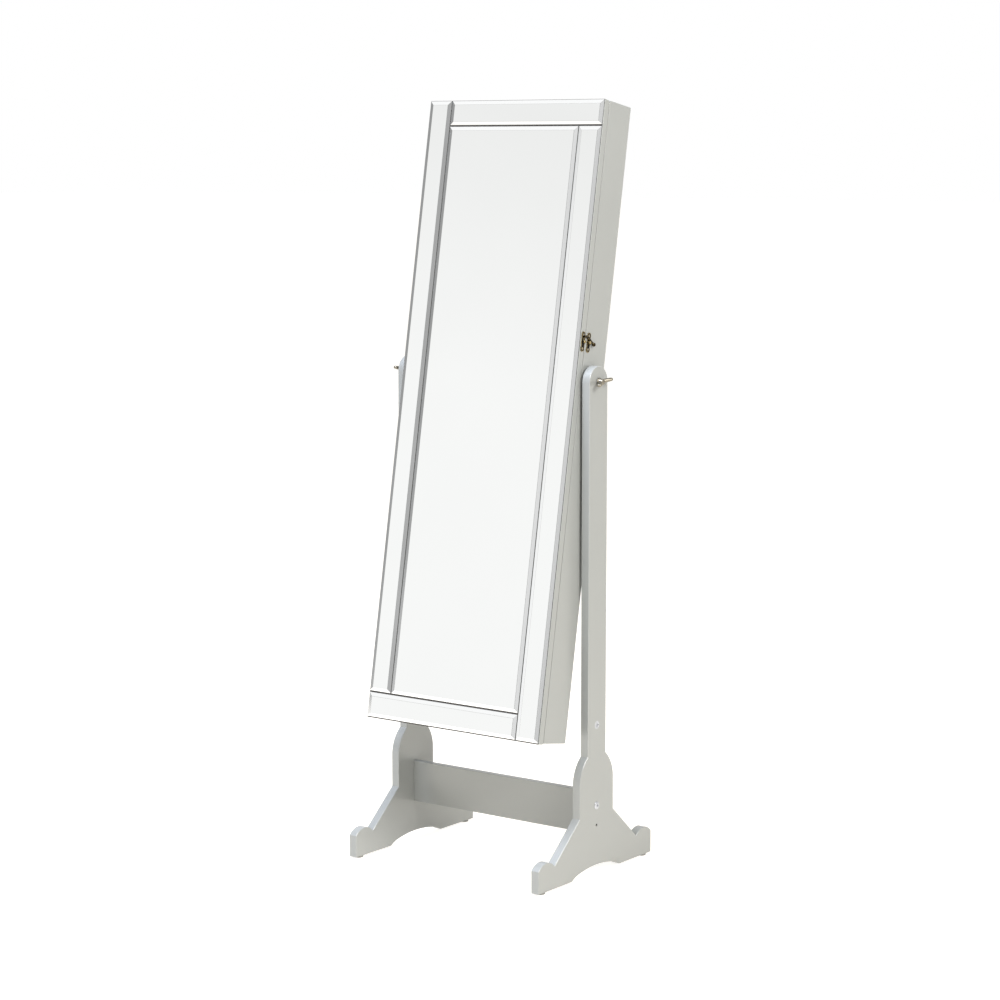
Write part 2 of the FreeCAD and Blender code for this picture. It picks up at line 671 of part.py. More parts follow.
def build_latch():
    """Two plates, a headed stud on the door, and an arm that hooks over the stud and turns on a headed pin."""
    plate_top = "cabinet_width / 2 + latch_plate_thick"
    arm_x = f"{plate_top} + latch_arm_lift"
    arm_out = f"{arm_x} + latch_arm_thick"
    pivot_y = f"({FRONT} + latch_pivot_back)"
    hook_y = f"({pivot_y} - latch_hook_radius)"
    stud_y = f"({hook_y} - latch_hook_radius + latch_hook_width / 2 + latch_pin_radius + latch_stud_gap)"
    plate_y = f"({DOOR_BACK} - door_thick / 2)"
    door_plate, door_screws = latch_plate("latch_door", plate_y)
    side_plate, side_screws = latch_plate("latch_side", pivot_y)
    head_x = f"{arm_out} + latch_head_gap"
    studs = []
    for name, y in (("stud", stud_y), ("pivot", pivot_y)):
        neck = rod(f"latch_{name}_neck", CABINET, "cabinet_width / 2", y, "latch_height", "X",
                   "latch_pin_radius",
                   f"{head_x} - cabinet_width / 2")
        head = rod(f"latch_{name}_head", CABINET, head_x, y, "latch_height", "X", "latch_head_radius",
                   "latch_head_high / 2")
        crown = make("Part::Cone", f"latch_{name}_crown", Radius1="latch_head_radius",
                     Radius2="latch_head_radius / 2",
                     Height="latch_head_high / 2")
        place(crown, CABINET, frame(f"{head_x} + latch_head_high / 2", y, "latch_height"),
              frame(axis="Y", angle="90"))
        studs.append(fuse(f"latch_{name}_whole", [neck, head, crown]))
    part("latch_stud", studs[0])
    part("latch_pivot", studs[1])
    part("latch_door_plate", cut("latch_door_cut", door_plate, door_screws + [studs[0]]))
    part("latch_cabinet_plate", cut("latch_side_cut", side_plate, side_screws + [studs[1]]))
    ring_outer = rod("hook_outer", CABINET, arm_x, hook_y, "latch_height", "X",
                     "latch_hook_radius + latch_hook_width / 2", "latch_arm_thick")
    ring_inner = rod("hook_inner", CABINET, f"{arm_x} - cut_past", hook_y, "latch_height", "X",
                     "latch_hook_radius - latch_hook_width / 2", "latch_arm_thick + 2 * cut_past")
    width = "4 * latch_hook_radius"
    open_side = block("hook_open", CABINET, f"{arm_x} - cut_past", hook_y, f"latch_height - {width} / 2",
                      "latch_arm_thick + 2 * cut_past", f"{width} / 2", width)
    below = make("Part::Box", "hook_below", Length="latch_arm_thick + 2 * cut_past", Width=width,
                 Height=width)
    place(below, CABINET, frame(f"{arm_x} - cut_past", hook_y, "latch_height"),
          frame(axis="X", angle="latch_beak_turn"),
          frame(y=f"-{width} / 2", z=f"-{width}"))
    crown_side = block("hook_far_below", CABINET, f"{arm_x} - cut_past", hook_y, f"latch_height - {width}",
                       "latch_arm_thick + 2 * cut_past", width, width)
    hook_left = cut("hook_left", ring_outer, [ring_inner, open_side, below])
    hook_right = cut("hook_right", ring_outer, [ring_inner, crown_side, block(
        "hook_front", CABINET, f"{arm_x} - cut_past", f"{hook_y} - {width}", f"latch_height - {width} / 2",
        "latch_arm_thick + 2 * cut_past", width, width)])
    boss = rod("latch_boss", CABINET, arm_x, pivot_y, "latch_height", "X", "latch_boss_radius",
               "latch_arm_thick")
    tail_home = frame(arm_x, f"{hook_y} + latch_hook_radius * cos(latch_tail_root)",
                      "latch_height + latch_hook_radius * sin(latch_tail_root)")
    tail = make("Part::Box", "latch_tail", Length="latch_arm_thick", Width="latch_tail_length",
                Height="latch_tail_width")
    tip_angle = frame(axis="X", angle="-latch_tail_angle")
    place(tail, CABINET, tail_home, tip_angle, frame(z="-latch_tail_width / 2"))
    finger = make("Part::Sphere", "latch_finger", Radius="latch_ball_radius")
    place(finger, CABINET, tail_home, tip_angle,
          frame(x="latch_ball_radius - latch_arm_lift + latch_head_gap",
                y="latch_tail_length + latch_ball_radius - latch_ball_sunk"))
    bore = rod("latch_bore", CABINET, f"{arm_x} - cut_past", pivot_y, "latch_height", "X",
               "latch_pin_radius + latch_pin_clearance", "latch_arm_thick + 2 * cut_past")
    whole = fuse("latch_arm_whole", [hook_left, hook_right, boss, tail, finger])
    part("latch_arm", cut("latch_arm_cut", whole, [bore]))
    return {"door_screws": door_screws, "side_screws": side_screws, "stud": studs[0], "pivot": studs[1]}


def build_pivots():
    """Wood block, threaded insert and spacer on each side, on the pivot line."""
    blocks, inserts, spacers, seats = [], [], [], {}
    for side in (-1, 1):
        tag = names(side)
        near = "inside_width / 2 - block_thick"
        wood = block(f"block_blank_{tag}", CABINET, low_x(side, near, "block_thick"),
                     f"{LINING_FRONT} - block_deep",
                     "-block_high / 2", "block_thick", "block_deep", "block_high")
        insert_x = low_x(side, "cabinet_width / 2 - insert_length", "insert_length")
        seat = rod(f"insert_outer_{tag}", CABINET, insert_x, "0", "0", "X", "insert_radius", "insert_length")
        bore = rod(f"insert_bore_{tag}", CABINET, insert_x, "0", "0", "X", "bolt_radius + bolt_clearance",
                   "insert_length")
        spacer_x = low_x(side, "cabinet_width / 2", "side_gap - spacer_gap")
        outer = rod(f"spacer_outer_{tag}", CABINET, spacer_x, "0", "0", "X", "spacer_radius",
                    "side_gap - spacer_gap")
        hole = rod(f"spacer_bore_{tag}", CABINET, spacer_x, "0", "0", "X", "bolt_radius + bolt_clearance",
                   "side_gap - spacer_gap")
        part(f"pivot_block_{tag}", cut(f"block_cut_{tag}", wood, [seat]))
        inserts.append(cut(f"insert_{tag}", seat, [bore]))
        spacers.append(cut(f"spacer_{tag}", outer, [hole]))
        seats[side] = seat
    part("threaded_inserts", group("inserts_group", inserts))
    part("pivot_spacers", group("spacers_group", spacers))
    return seats


def build_fittings():
    """Shelves with their rails, necklace hooks on a rail, ring cushions and earring strips."""
    shelf_deep = f"{LINING_FRONT} - {SHELF_FRONT}"
    for number in (1, 2, 3):
        part(f"shelf_{number}", inside_board(f"shelf_board_{number}", SHELF_FRONT,
                                             f"{TOP} - shelf_drop_{number} - shelf_thick", shelf_deep,
                                             "shelf_thick"))
    for number, surface in enumerate((f"{TOP} - shelf_drop_2", f"{TOP} - shelf_drop_3",
                                      f"{FLOOR} + end_thick"),
                                     start=1):
        part(f"shelf_rail_{number}", inside_board(f"rail_bar_{number}", SHELF_FRONT,
                                                  f"{surface} + rail_lift",
                                                  "rail_thick", "rail_high"))
    hook_rail = inside_board("hook_rail_bar", f"{LINING_FRONT} - hook_rail_thick",
                             f"{TOP} - hook_rail_drop - hook_rail_high", "hook_rail_thick", "hook_rail_high")
    hooks = []
    for number in range(HOOKS):
        x = f"({number - HOOKS // 2}) * inside_width / {HOOKS + 1}"
        start, level = f"{LINING_FRONT} - hook_rail_thick", f"{TOP} - hook_rail_drop - hook_rail_high / 2"
        tip = f"{start} - hook_reach"
        stem = rod(f"hook_stem_{number}", CABINET, x, tip, level, "Y", "hook_radius",
                   "hook_reach + hook_rail_thick / 2")
        turnup = rod(f"hook_turnup_{number}", CABINET, x, tip, level, "Z", "hook_radius", "hook_turnup")
        elbow = ball(f"hook_elbow_{number}", CABINET, x, tip, level, "hook_radius")
        knob = ball(f"hook_knob_{number}", CABINET, x, tip, f"{level} + hook_turnup", "hook_knob_radius")
        hooks.append(fuse(f"hook_{number}", [stem, turnup, elbow, knob]))
    part("necklace_rail", cut("hook_rail_cut", hook_rail, hooks))
    part("necklace_hooks", group("hooks_group", hooks))
    wide = "(inside_width / 2 - cushion_gap / 2 - cushion_end_gap)"
    for side in (-1, 1):
        part(f"ring_cushion_{names(side)}", block(
            f"cushion_{names(side)}", CABINET, low_x(side, "cushion_gap / 2", wide),
            f"{LINING_FRONT} - cushion_thick", f"{TOP} - cushion_drop - cushion_high", wide,
            "cushion_thick", "cushion_high"))
    for number in (1, 2):
        level = f"{TOP} - strip_drop_{number} - strip_high / 2"
        back = f"{LINING_FRONT} - strip_forward"
        bar = inside_board(f"strip_bar_{number}", f"{back} - strip_thick", f"{level} - strip_high / 2",
                           "strip_thick", "strip_high")
        holes = []
        for column in range(EARRING_HOLES):
            x = f"({column - EARRING_HOLES // 2}) * inside_width / {EARRING_HOLES + 2}"
            holes.append(rod(f"strip_hole_{number}_{column}", CABINET, x,
                             f"{back} - strip_thick - cut_past", level, "Y",
                             "strip_hole_radius", "strip_thick + 2 * cut_past"))
        part(f"earring_strip_{number}", cut(f"strip_cut_{number}", bar, holes))


def tile(label, x, z, wide, high):
    """Glass tile with its front edges bevelled all round, thinner by `bevel_deep` at the rim."""
    back = block(label + "_back", CABINET, x, f"{DOOR_FRONT} - glass_thick + bevel_deep", z, wide,
                 "glass_thick - bevel_deep", high)
    front = make("Part::Wedge", label + "_bevel", Xmin="bevel_wide", Xmax=f"{wide} - bevel_wide", Ymin="0",
                 Ymax="bevel_deep", Zmin="bevel_wide", Zmax=f"{high} - bevel_wide", X2min="0",
                 X2max=wide, Z2min="0",
                 Z2max=high)
    place(front, CABINET, frame(x, GLASS_FRONT, z))
    part(label, fuse(label + "_glass", [back, front]))


def build_mirror():
    """Four strips laid in a pinwheel round a centre tile."""
    left, right = "(-cabinet_width / 2)", "(cabinet_width / 2)"
    strip, end, gap = "tile_side", "tile_end", "tile_gap"
    tile("mirror_left", left, f"{DOOR_BOTTOM} + {end} + {gap}", strip, f"door_height - {end} - {gap}")
    tile("mirror_top", f"{left} + {strip} + {gap}", f"{TOP} - {end}", f"cabinet_width - {strip} - {gap}",
         end)
    tile("mirror_right", f"{right} - {strip}", DOOR_BOTTOM, strip, f"door_height - {end} - {gap}")
    tile("mirror_bottom", left, DOOR_BOTTOM, f"cabinet_width - {strip} - {gap}", end)
    tile("mirror_centre", f"{left} + {strip} + {gap}", f"{DOOR_BOTTOM} + {end} + {gap}",
         f"cabinet_width - 2 * ({strip} + {gap})", f"door_height - 2 * ({end} + {gap})")


def build_cabinet():
    seats = build_pivots()
    hinges = [hinge(number, low) for number, low in enumerate(HINGE_HEIGHTS, start=1)]
    latch = build_latch()
    build_fittings()
    build_mirror()
    ends = [("top", f"{TOP} - end_thick"), ("bottom", FLOOR)]
    dowels, length = [], "carcass_dowel_length"
    for end_name, low in ends:
        for side in (-1, 1):
            for number, share in enumerate((0.25, 0.75), start=1):
                dowels.append(rod(f"carcass_dowel_{end_name}_{names(side)}_{number}", CABINET,
                                  low_x(side, f"inside_width / 2 + carcass_dowel_deep - {length}", length),
                                  f"{FRONT} + {share} * cabinet_depth", f"{low} + end_thick / 2", "X",
                                  "dowel_radius", length))
    for side in (-1, 1):
        tag = names(side)
        blank = board(f"side_blank_{tag}", CABINET, low_x(side, "inside_width / 2", "side_thick"), FRONT,
                      FLOOR,
                      "side_thick", "cabinet_depth", "cabinet_height")
        holes = [seats[side]] + [dowel for dowel in dowels if tag in dowel.Name]
        if side < 0:
            for one in hinges:
                holes += [one["side_leaf"]] + one["side_screws"]
        else:
            holes += latch["side_screws"]
        part(f"cabinet_side_{tag}", cut(f"side_cut_{tag}", blank, holes))
    for end_name, low in ends:
        blank = board(f"{end_name}_blank", CABINET, "-inside_width / 2", FRONT, low, "inside_width",
                      "cabinet_depth",
                      "end_thick")
        part(f"cabinet_{end_name}", cut(f"{end_name}_cut", blank,
                                        [d for d in dowels if f"_{end_name}_" in d.Name]))
    inner_high = "cabinet_height - 2 * end_thick"
    part("cabinet_back", inside_board("back_panel", f"{BACK} - back_recess - back_thick",
                                      f"{FLOOR} + end_thick",
                                      "back_thick", inner_high))
    part("back_lining", inside_board("lining_panel", LINING_FRONT, f"{FLOOR} + end_thick", "lining_thick",
                                     inner_high))
    part("carcass_dowels", group("carcass_dowels_group", dowels))
    part("hinge_pins", group("hinge_pins_group", [one["pin"] for one in hinges]))
    side_screws = sum((one["side_screws"] for one in hinges), [])
    door_screws = sum((one["door_screws"] for one in hinges), [])
    part("cabinet_screws", group("cabinet_screws_group", side_screws + latch["side_screws"]))
    part("door_screws", group("door_screws_group", door_screws + latch["door_screws"]))
    build_door(hinges, latch)


def build_door(hinges, latch):
    blank = board("door_blank", CABINET, "-cabinet_width / 2", DOOR_FRONT, DOOR_BOTTOM, "cabinet_width",
                  "door_thick",
                  "door_height")
    holes = list(latch["door_screws"])
    for one in hinges:
        holes += [one["door_leaf"], one["relief"]] + one["door_screws"]
    part("door_board", cut("door_cut", blank, holes))
    margin = "door_lining_margin"
    part("door_lining", block("door_felt", CABINET, f"-cabinet_width / 2 + {margin}", DOOR_BACK,
                              f"{DOOR_BOTTOM} + {margin}", f"cabinet_width - 2 * {margin}",
                              "door_lining_thick",
                              f"door_height - 2 * {margin}"))
    heights = {"low": f"{FLOOR} + bumper_end_inset", "middle": f"{TOP} - cabinet_height / 2",
               "high": f"{TOP} - bumper_end_inset"}
    bumpers = [rod(f"bumper_{name}", CABINET, "cabinet_width / 2 - bumper_inset", DOOR_BACK, z, "Y",
                   "bumper_radius",
                   "bumper_thick")
               for name, z in heights.items()]
    part("door_bumpers", group("bumpers_group", bumpers))


def check_and_export():
    doc.recompute()
    for thing in doc.Objects:
        if "Invalid" in thing.State or "Error" in thing.State:
            raise RuntimeError(f"{thing.Label} failed: {thing.State}")
    os.makedirs("parts", exist_ok=True)
    for thing in PARTS:
        shape = thing.Shape
        if shape.isNull() or not shape.isValid() or not shape.Solids:
            raise RuntimeError(f"{thing.Label} has no valid solid")
        shape.exportStep(f"parts/{thing.Label}.step")
    print(len(PARTS), "parts written")


doc = FreeCAD.newDocument("cheval_mirror")
sheet = make_sheet()
build_stand()
wing_bolt(-1)
wing_bolt(1)
build_cabinet()
check_and_export()
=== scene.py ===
"""Looks of a tilting cheval floor mirror with a jewellery cabinet behind its bevelled mirror door.

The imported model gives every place: sizes are in metres, +X to the right, +Y to the back, +Z up. Pieces on
the cabinet are worked out in its own tilted frame (across, back, up from the pivot line) and then turned
into place.
"""

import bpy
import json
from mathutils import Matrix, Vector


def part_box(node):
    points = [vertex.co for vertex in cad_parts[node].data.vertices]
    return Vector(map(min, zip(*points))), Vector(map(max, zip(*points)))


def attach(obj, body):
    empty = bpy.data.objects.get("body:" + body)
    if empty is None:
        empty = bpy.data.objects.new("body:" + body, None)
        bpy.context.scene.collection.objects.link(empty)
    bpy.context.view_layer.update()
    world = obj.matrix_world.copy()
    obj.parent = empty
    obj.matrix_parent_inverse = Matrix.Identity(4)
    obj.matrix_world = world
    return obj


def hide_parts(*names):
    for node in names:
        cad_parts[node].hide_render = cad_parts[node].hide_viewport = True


bl_info = {
    "name": "Cheval Mirror",
    "version": (1, 0, 0),
    "blender": (4, 5, 0),
    "location": "3D View > Sidebar > Mirror",
    "description": "Finishes and fine pieces of a cheval floor mirror with a jewellery cabinet",
    "category": "Object",
}

import json
import math

import bmesh
import bpy
import numpy as np
from bpy.props import FloatProperty, FloatVectorProperty, IntProperty, PointerProperty

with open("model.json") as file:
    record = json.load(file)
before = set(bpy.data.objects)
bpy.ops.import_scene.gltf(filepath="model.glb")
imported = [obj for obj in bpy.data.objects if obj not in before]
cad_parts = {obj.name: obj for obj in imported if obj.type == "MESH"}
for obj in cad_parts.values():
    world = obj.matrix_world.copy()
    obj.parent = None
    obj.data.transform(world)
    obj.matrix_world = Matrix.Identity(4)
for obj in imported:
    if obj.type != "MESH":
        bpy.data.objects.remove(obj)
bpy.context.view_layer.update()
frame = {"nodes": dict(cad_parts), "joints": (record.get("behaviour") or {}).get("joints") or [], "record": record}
JOINTS = {joint["name"]: joint for joint in frame["joints"]}
MM = 0.001


def linear(hex_colour):
    """Linear red, green and blue of an sRGB hex colour."""
    shares = np.array([int(hex_colour[i:i + 2], 16) for i in (0, 2, 4)]) / 255
    return tuple(np.where(shares <= 0.04045, shares / 12.92, ((shares + 0.055) / 1.055) ** 2.4))


# ---- the cabinet's tilted frame

PIVOT = np.array(JOINTS["cabinet_tilt"]["pos_m"])
TILT = math.atan2(-JOINTS["door_swing"]["axis"][1], -JOINTS["door_swing"]["axis"][2])
LEAN = np.array([[1, 0, 0], [0, math.cos(TILT), math.sin(TILT)], [0, -math.sin(TILT), math.cos(TILT)]])


def on_cabinet(points):
    """Turns (across, back, up) in the cabinet's frame into the model's frame: a lean back about the pivot
    line."""
    return points @ LEAN.T + PIVOT


def cabinet_box(node):
    """Lowest and highest corner of a CAD node in the cabinet's frame."""
    mesh = frame["nodes"][node].data
    points = np.empty(len(mesh.vertices) * 3)
    mesh.vertices.foreach_get("co", points)
    inside = (points.reshape(-1, 3) - PIVOT) @ LEAN
    return inside.min(axis=0), inside.max(axis=0)


def model_box(node):
    """Lowest and highest corner of a CAD node in the model's own frame."""
    low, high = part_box(node)
    return np.array(low), np.array(high)


# ---- sizes and colours that a user would change

class MirrorSizes(bpy.types.PropertyGroup):
    bevel_width: FloatProperty(
        name="Bevel width", description="Width of the ground bevel on the mirror tiles", default=9 * MM,
        min=3 * MM, max=20 * MM, subtype="DISTANCE", unit="LENGTH")
    bevel_depth: FloatProperty(
        name="Bevel depth", description="How much thinner the glass is at its rim", default=2 * MM,
        min=0.5 * MM, max=3 * MM, subtype="DISTANCE", unit="LENGTH")
    seamed_edge: FloatProperty(
        name="Seamed edge", description="Small chamfer ground on the rim of the glass", default=0.9 * MM,
        subtype="DISTANCE", unit="LENGTH")
    # Widens the near-black seam along the lower edges, so that it draws a line of painted shade under each tile.
    lower_edge_shade_width: FloatProperty(
        name="Lower seam", description="Extra width of the seamed chamfer along the lower edges, a line of painted shade",
        default=1.6 * MM, subtype="DISTANCE", unit="LENGTH")
    ring_rolls: IntProperty(
        name="Ring rolls", description="Soft rolls in each ring cushion", default=6, min=2, max=12)
    wing_thick: FloatProperty(
        name="Wing thickness", description="Thickness of the wing bolts' wings", default=7.5 * MM,
        subtype="DISTANCE", unit="LENGTH")
    wing_turn_right: FloatProperty(
        name="Right wings' turn", description="How far the right wing bolt is turned from level",
        default=math.radians(13), subtype="ANGLE", unit="ROTATION")
    wing_turn_left: FloatProperty(
        name="Left wings' turn", description="How far the left wing bolt is turned from level",
        default=math.radians(16), subtype="ANGLE", unit="ROTATION")
    floor_size: FloatProperty(
        name="Floor", description="Side of the square floor", default=120.0,
        subtype="DISTANCE", unit="LENGTH")


def colour(name, description, hex_colour):
    return FloatVectorProperty(name=name, description=description, default=linear(hex_colour), size=3,
                               min=0, max=1, subtype="COLOR")


class MirrorColours(bpy.types.PropertyGroup):
    lacquer: colour("Lacquer", "Silver-grey lacquer on the boards", "AEB0AD")
    back_paint: colour("Back panel", "Flat paint on the back panel", "B9BBB8")
    silvering: colour("Silvering", "Tint of the mirror glass", "FDFEFD")
    bevel: colour("Bevel", "Tint of the ground bevels", "FAFBFB")
    bevel_line: colour("Bevel line", "Line where a bevel meets the flat of its tile", "C4C4C2")
    glass_edge: colour("Glass edge", "Cut edge of the glass", "D5DEDC")
    # Near black, not the pale grey of ground glass: painted shade for the dark lines at the tile joints and rims.
    glass_seam: colour("Glass seam", "Dull chamfer on the rim of the glass", "37332F")
    nickel: colour("Nickel", "Satin nickel plate", "8C8679")
    zinc: colour("Zinc", "Zinc-plated steel", "C4C6CA")
    bronze_low: colour("Bronze in hollows", "Dark patina of the latch", "15120F")
    bronze_high: colour("Bronze on edges", "Rubbed metal of the latch", "8A7850")
    # Bright rims and screw heads: rubbed metal, and partly a painted highlight standing in for the latch's edge
    # glints.
    bronze_rim: colour("Bronze rims", "Bright rims and screws of the latch", "D8CBA6")
    velveteen: colour("Velveteen", "Pile fabric inside the cabinet", "2E2E33")
    beech: colour("Beech", "Bare dowels and blocks", "D3B183")
    plastic: colour("Plastic", "Glides, bushes and spacers", "9FA09D")
    bumper: colour("Bumper", "Clear soft dots on the door", "C9C9C2")
    floor: colour("Floor", "Pale studio floor", "CEC6B6")


def sizes():
    return bpy.context.scene.mirror_sizes


def colours():
    return bpy.context.scene.mirror_colours


# ---- surfaces

def band_faces(rings, around):
    """Quads between neighbouring rings: point j of ring i joins point j + 1 and the same two of the next
    ring."""
    i, j = np.meshgrid(np.arange(rings - 1), np.arange(around), indexing="ij")
    following = (j + 1) % around
    corners = [i * around + j, i * around + following, (i + 1) * around + following, (i + 1) * around + j]
    return np.stack(corners, axis=-1).reshape(-1, 4)


def make_piece(name, body, shells, materials, node, sharp=32):
    """One mesh of closed shells that stands for a CAD node. A shell is (rings, finishes): an array of rings
    of points, joined in order and closed by a flat face at each end, and the material number of each band,
    first and last face included. Edges bent by more than `sharp` degrees stay crisp."""
    points, faces, finishes, start = [], [], [], 0
    for rings, finish in shells:
        count, around = rings.shape[:2]
        points.append(rings.reshape(-1, 3))
        faces.append(list(range(start, start + around)))
        faces.extend((band_faces(count, around) + start).tolist())
        faces.append(list(range(start + (count - 1) * around, start + count * around)))
        numbers = np.broadcast_to(finish, count + 1)
        finishes.append(np.concatenate([numbers[:1], np.repeat(numbers[1:-1], around), numbers[-1:]]))
        start += count * around
    mesh = bpy.data.meshes.new(name)
    mesh.from_pydata(np.concatenate(points).tolist(), [], faces)
    mesh.polygons.foreach_set("material_index", np.concatenate(finishes).astype(np.int32))
    for material in materials:
        mesh.materials.append(material)
    shape = bmesh.new()
    shape.from_mesh(mesh)
    bmesh.ops.recalc_face_normals(shape, faces=shape.faces)
    shape.to_mesh(mesh)
    shape.free()
    mesh.shade_smooth()
    mesh.set_sharp_from_angle(angle=math.radians(sharp))
    mesh.validate()
    piece = bpy.data.objects.new(name, mesh)
    bpy.context.collection.objects.link(piece)
    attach(piece, body)
    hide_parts(node)
    return piece


def turned(profile, around=48):
    """Lathe work about +X: each profile point (along, radius) becomes a ring of that radius."""
    along, radius = np.array(profile, float).T
    angle = np.linspace(0, 2 * np.pi, around, endpoint=False)
    rings = np.empty((len(along), around, 3))
    rings[..., 0] = along[:, None]
    rings[..., 1] = radius[:, None] * np.cos(angle)
    rings[..., 2] = radius[:, None] * np.sin(angle)
    return rings


def profile_from(start, points):
    """Lathe profile of (along, radius) points in millimetres, with `along` counted from start."""
    return [(start + along * MM, radius * MM) for along, radius in points]


def dome_from(start, size):
    """Lathe profile of a low dome, whose size is (along, radius, height) in millimetres, with `along` counted
    from start: a quarter of an ellipse from its rim to almost its middle."""
    along, radius, high = np.array(size) * MM
    angle = np.linspace(0, np.radians(86), 8)
    return [(start + along + high * math.sin(a), radius * math.cos(a)) for a in angle]


def swept(path, half_wide, half_thick, level, around=24, squareness=2.0):
    """Bar along a path in a flat plane. Each ring is a superellipse: half_wide in the plane at right angles
    to the path, half_thick along `level`, the plane's normal."""
    forward = np.gradient(path, axis=0)
    forward /= np.linalg.norm(forward, axis=1)[:, None]
    across = np.cross(level, forward)
    angle = np.linspace(0, 2 * np.pi, around, endpoint=False)
    cosine, sine = np.cos(angle), np.sin(angle)
    wide = np.sign(cosine) * np.abs(cosine) ** (2 / squareness)
    thick = np.sign(sine) * np.abs(sine) ** (2 / squareness)
    return (path[:, None, :]
            + (half_wide[:, None] * wide)[..., None] * across[:, None, :]
            + (half_thick[:, None] * thick)[..., None] * np.asarray(level, float))


def turn_about_x(points, angle):
    cosine, sine = math.cos(angle), math.sin(angle)
    return points @ np.array([[1, 0, 0], [0, cosine, -sine], [0, sine, cosine]]).T


# ---- materials

NOISE_LOW, NOISE_HIGH = 0.3, 0.7      # nearly all of a noise's values lie between these
MIX_A, MIX_B, MIX_RESULT = 6, 7, 2    # a Mix node's sockets for colours


def add(tree, kind, links=(), **settings):
    """Adds a node. A setting named for a property is set on it, any other on the input of that name, and
    links are (input, output socket) pairs."""
    node = tree.nodes.new(kind)
    for key, setting in settings.items():
        if hasattr(node, key):
            setattr(node, key, setting)
    for key, setting in settings.items():
        if not hasattr(node, key):
            node.inputs[key.replace("_", " ")].default_value = setting
    for socket, source in links:
        tree.links.new(source, node.inputs[socket])
    return node


def start_material(name):
    material = bpy.data.materials.new(name)
    material.use_nodes = True
    tree = material.node_tree
    shader = tree.nodes["Principled BSDF"]
    place = add(tree, "ShaderNodeTexCoord").outputs["Object"]
    return material, tree, shader, place


def rgba(colour_value, times=1.0):
    return tuple(min(1.0, share * times) for share in colour_value) + (1.0,)


def two_tone(tree, factor, dark, light, low=NOISE_LOW, high=NOISE_HIGH):
    """Colour that runs from dark to light as the factor goes from low to high."""
    ramp = add(tree, "ShaderNodeValToRGB", [("Fac", factor)])
    ramp.color_ramp.elements[0].position, ramp.color_ramp.elements[0].color = low, dark
    ramp.color_ramp.elements[1].position, ramp.color_ramp.elements[1].color = high, light
    return ramp.outputs["Color"]


def spread(tree, factor, low, high):
    """The span of a noise's values stretched over low to high."""
    made = add(tree, "ShaderNodeMapRange", [("Value", factor)],
               From_Min=NOISE_LOW, From_Max=NOISE_HIGH, To_Min=low, To_Max=high)
    return made.outputs["Result"]


def size_of(millimetres):
    """Noise scale whose patches are about that many millimetres across."""
    return 1 / (millimetres * MM)


def satin_lacquer(name, tint, rough):
    """Sprayed silver-grey lacquer on fibreboard, rubbed to a satin: an even colour with a faint cloudiness,
    a very fine metallic grain and a soft orange peel that blurs what it reflects. The grain is drawn at
    0.9 mm, coarser than it is, so that it shows."""
    material, tree, shader, place = start_material(name)
    cloud = add(tree, "ShaderNodeTexNoise", [("Vector", place)], Scale=size_of(140), Detail=3.0)
    grain = add(tree, "ShaderNodeTexNoise", [("Vector", place)], Scale=size_of(0.9), Detail=2.0)
    both = add(tree, "ShaderNodeMath", [(0, cloud.outputs["Fac"]), (1, grain.outputs["Fac"])],
               operation="ADD")
    half = add(tree, "ShaderNodeMath", [(0, both.outputs["Value"])], operation="MULTIPLY")
    half.inputs[1].default_value = 0.5
    tone = two_tone(tree, half.outputs["Value"], rgba(tint, 0.955), rgba(tint, 1.03))
    tree.links.new(tone, shader.inputs["Base Color"])
    tree.links.new(spread(tree, cloud.outputs["Fac"], rough - 0.04, rough + 0.05), shader.inputs["Roughness"])
    peel = add(tree, "ShaderNodeTexNoise", [("Vector", place)], Scale=size_of(2.2), Detail=1.5)
    bump = add(tree, "ShaderNodeBump", [("Height", peel.outputs["Fac"])], Strength=0.22, Distance=0.05 * MM)
    tree.links.new(bump.outputs["Normal"], shader.inputs["Normal"])
    shader.inputs["Metallic"].default_value = 0.12
    shader.inputs["Coat Weight"].default_value = 0.25
    shader.inputs["Coat Roughness"].default_value = 0.18
    return material


def flat_paint(name, tint):
    """Thin flat paint rolled on hardboard: dull, with a fine stipple."""
    material, tree, shader, place = start_material(name)
    stipple = add(tree, "ShaderNodeTexNoise", [("Vector", place)], Scale=size_of(1.6), Detail=4.0)
    tone = two_tone(tree, stipple.outputs["Fac"], rgba(tint, 0.93), rgba(tint, 1.04))
    tree.links.new(tone, shader.inputs["Base Color"])
    bump = add(tree, "ShaderNodeBump", [("Height", stipple.outputs["Fac"])], Strength=0.35, Distance=0.1 * MM)
    tree.links.new(bump.outputs["Normal"], shader.inputs["Normal"])
    shader.inputs["Roughness"].default_value = 0.62
    return material


def silvered_glass(name, tint, rough):
    """Float glass silvered on its back: a clear image with a trace of grey-green, broken only by faint
    haze."""
    material, tree, shader, place = start_material(name)
    haze = add(tree, "ShaderNodeTexNoise", [("Vector", place)], Scale=size_of(260), Detail=2.0)
    tone = two_tone(tree, haze.outputs["Fac"], rgba(tint, 0.985), rgba(tint, 1.0))
    tree.links.new(tone, shader.inputs["Base Color"])
    tree.links.new(spread(tree, haze.outputs["Fac"], rough, rough * 1.6), shader.inputs["Roughness"])
    shader.inputs["Metallic"].default_value = 1.0
    return material


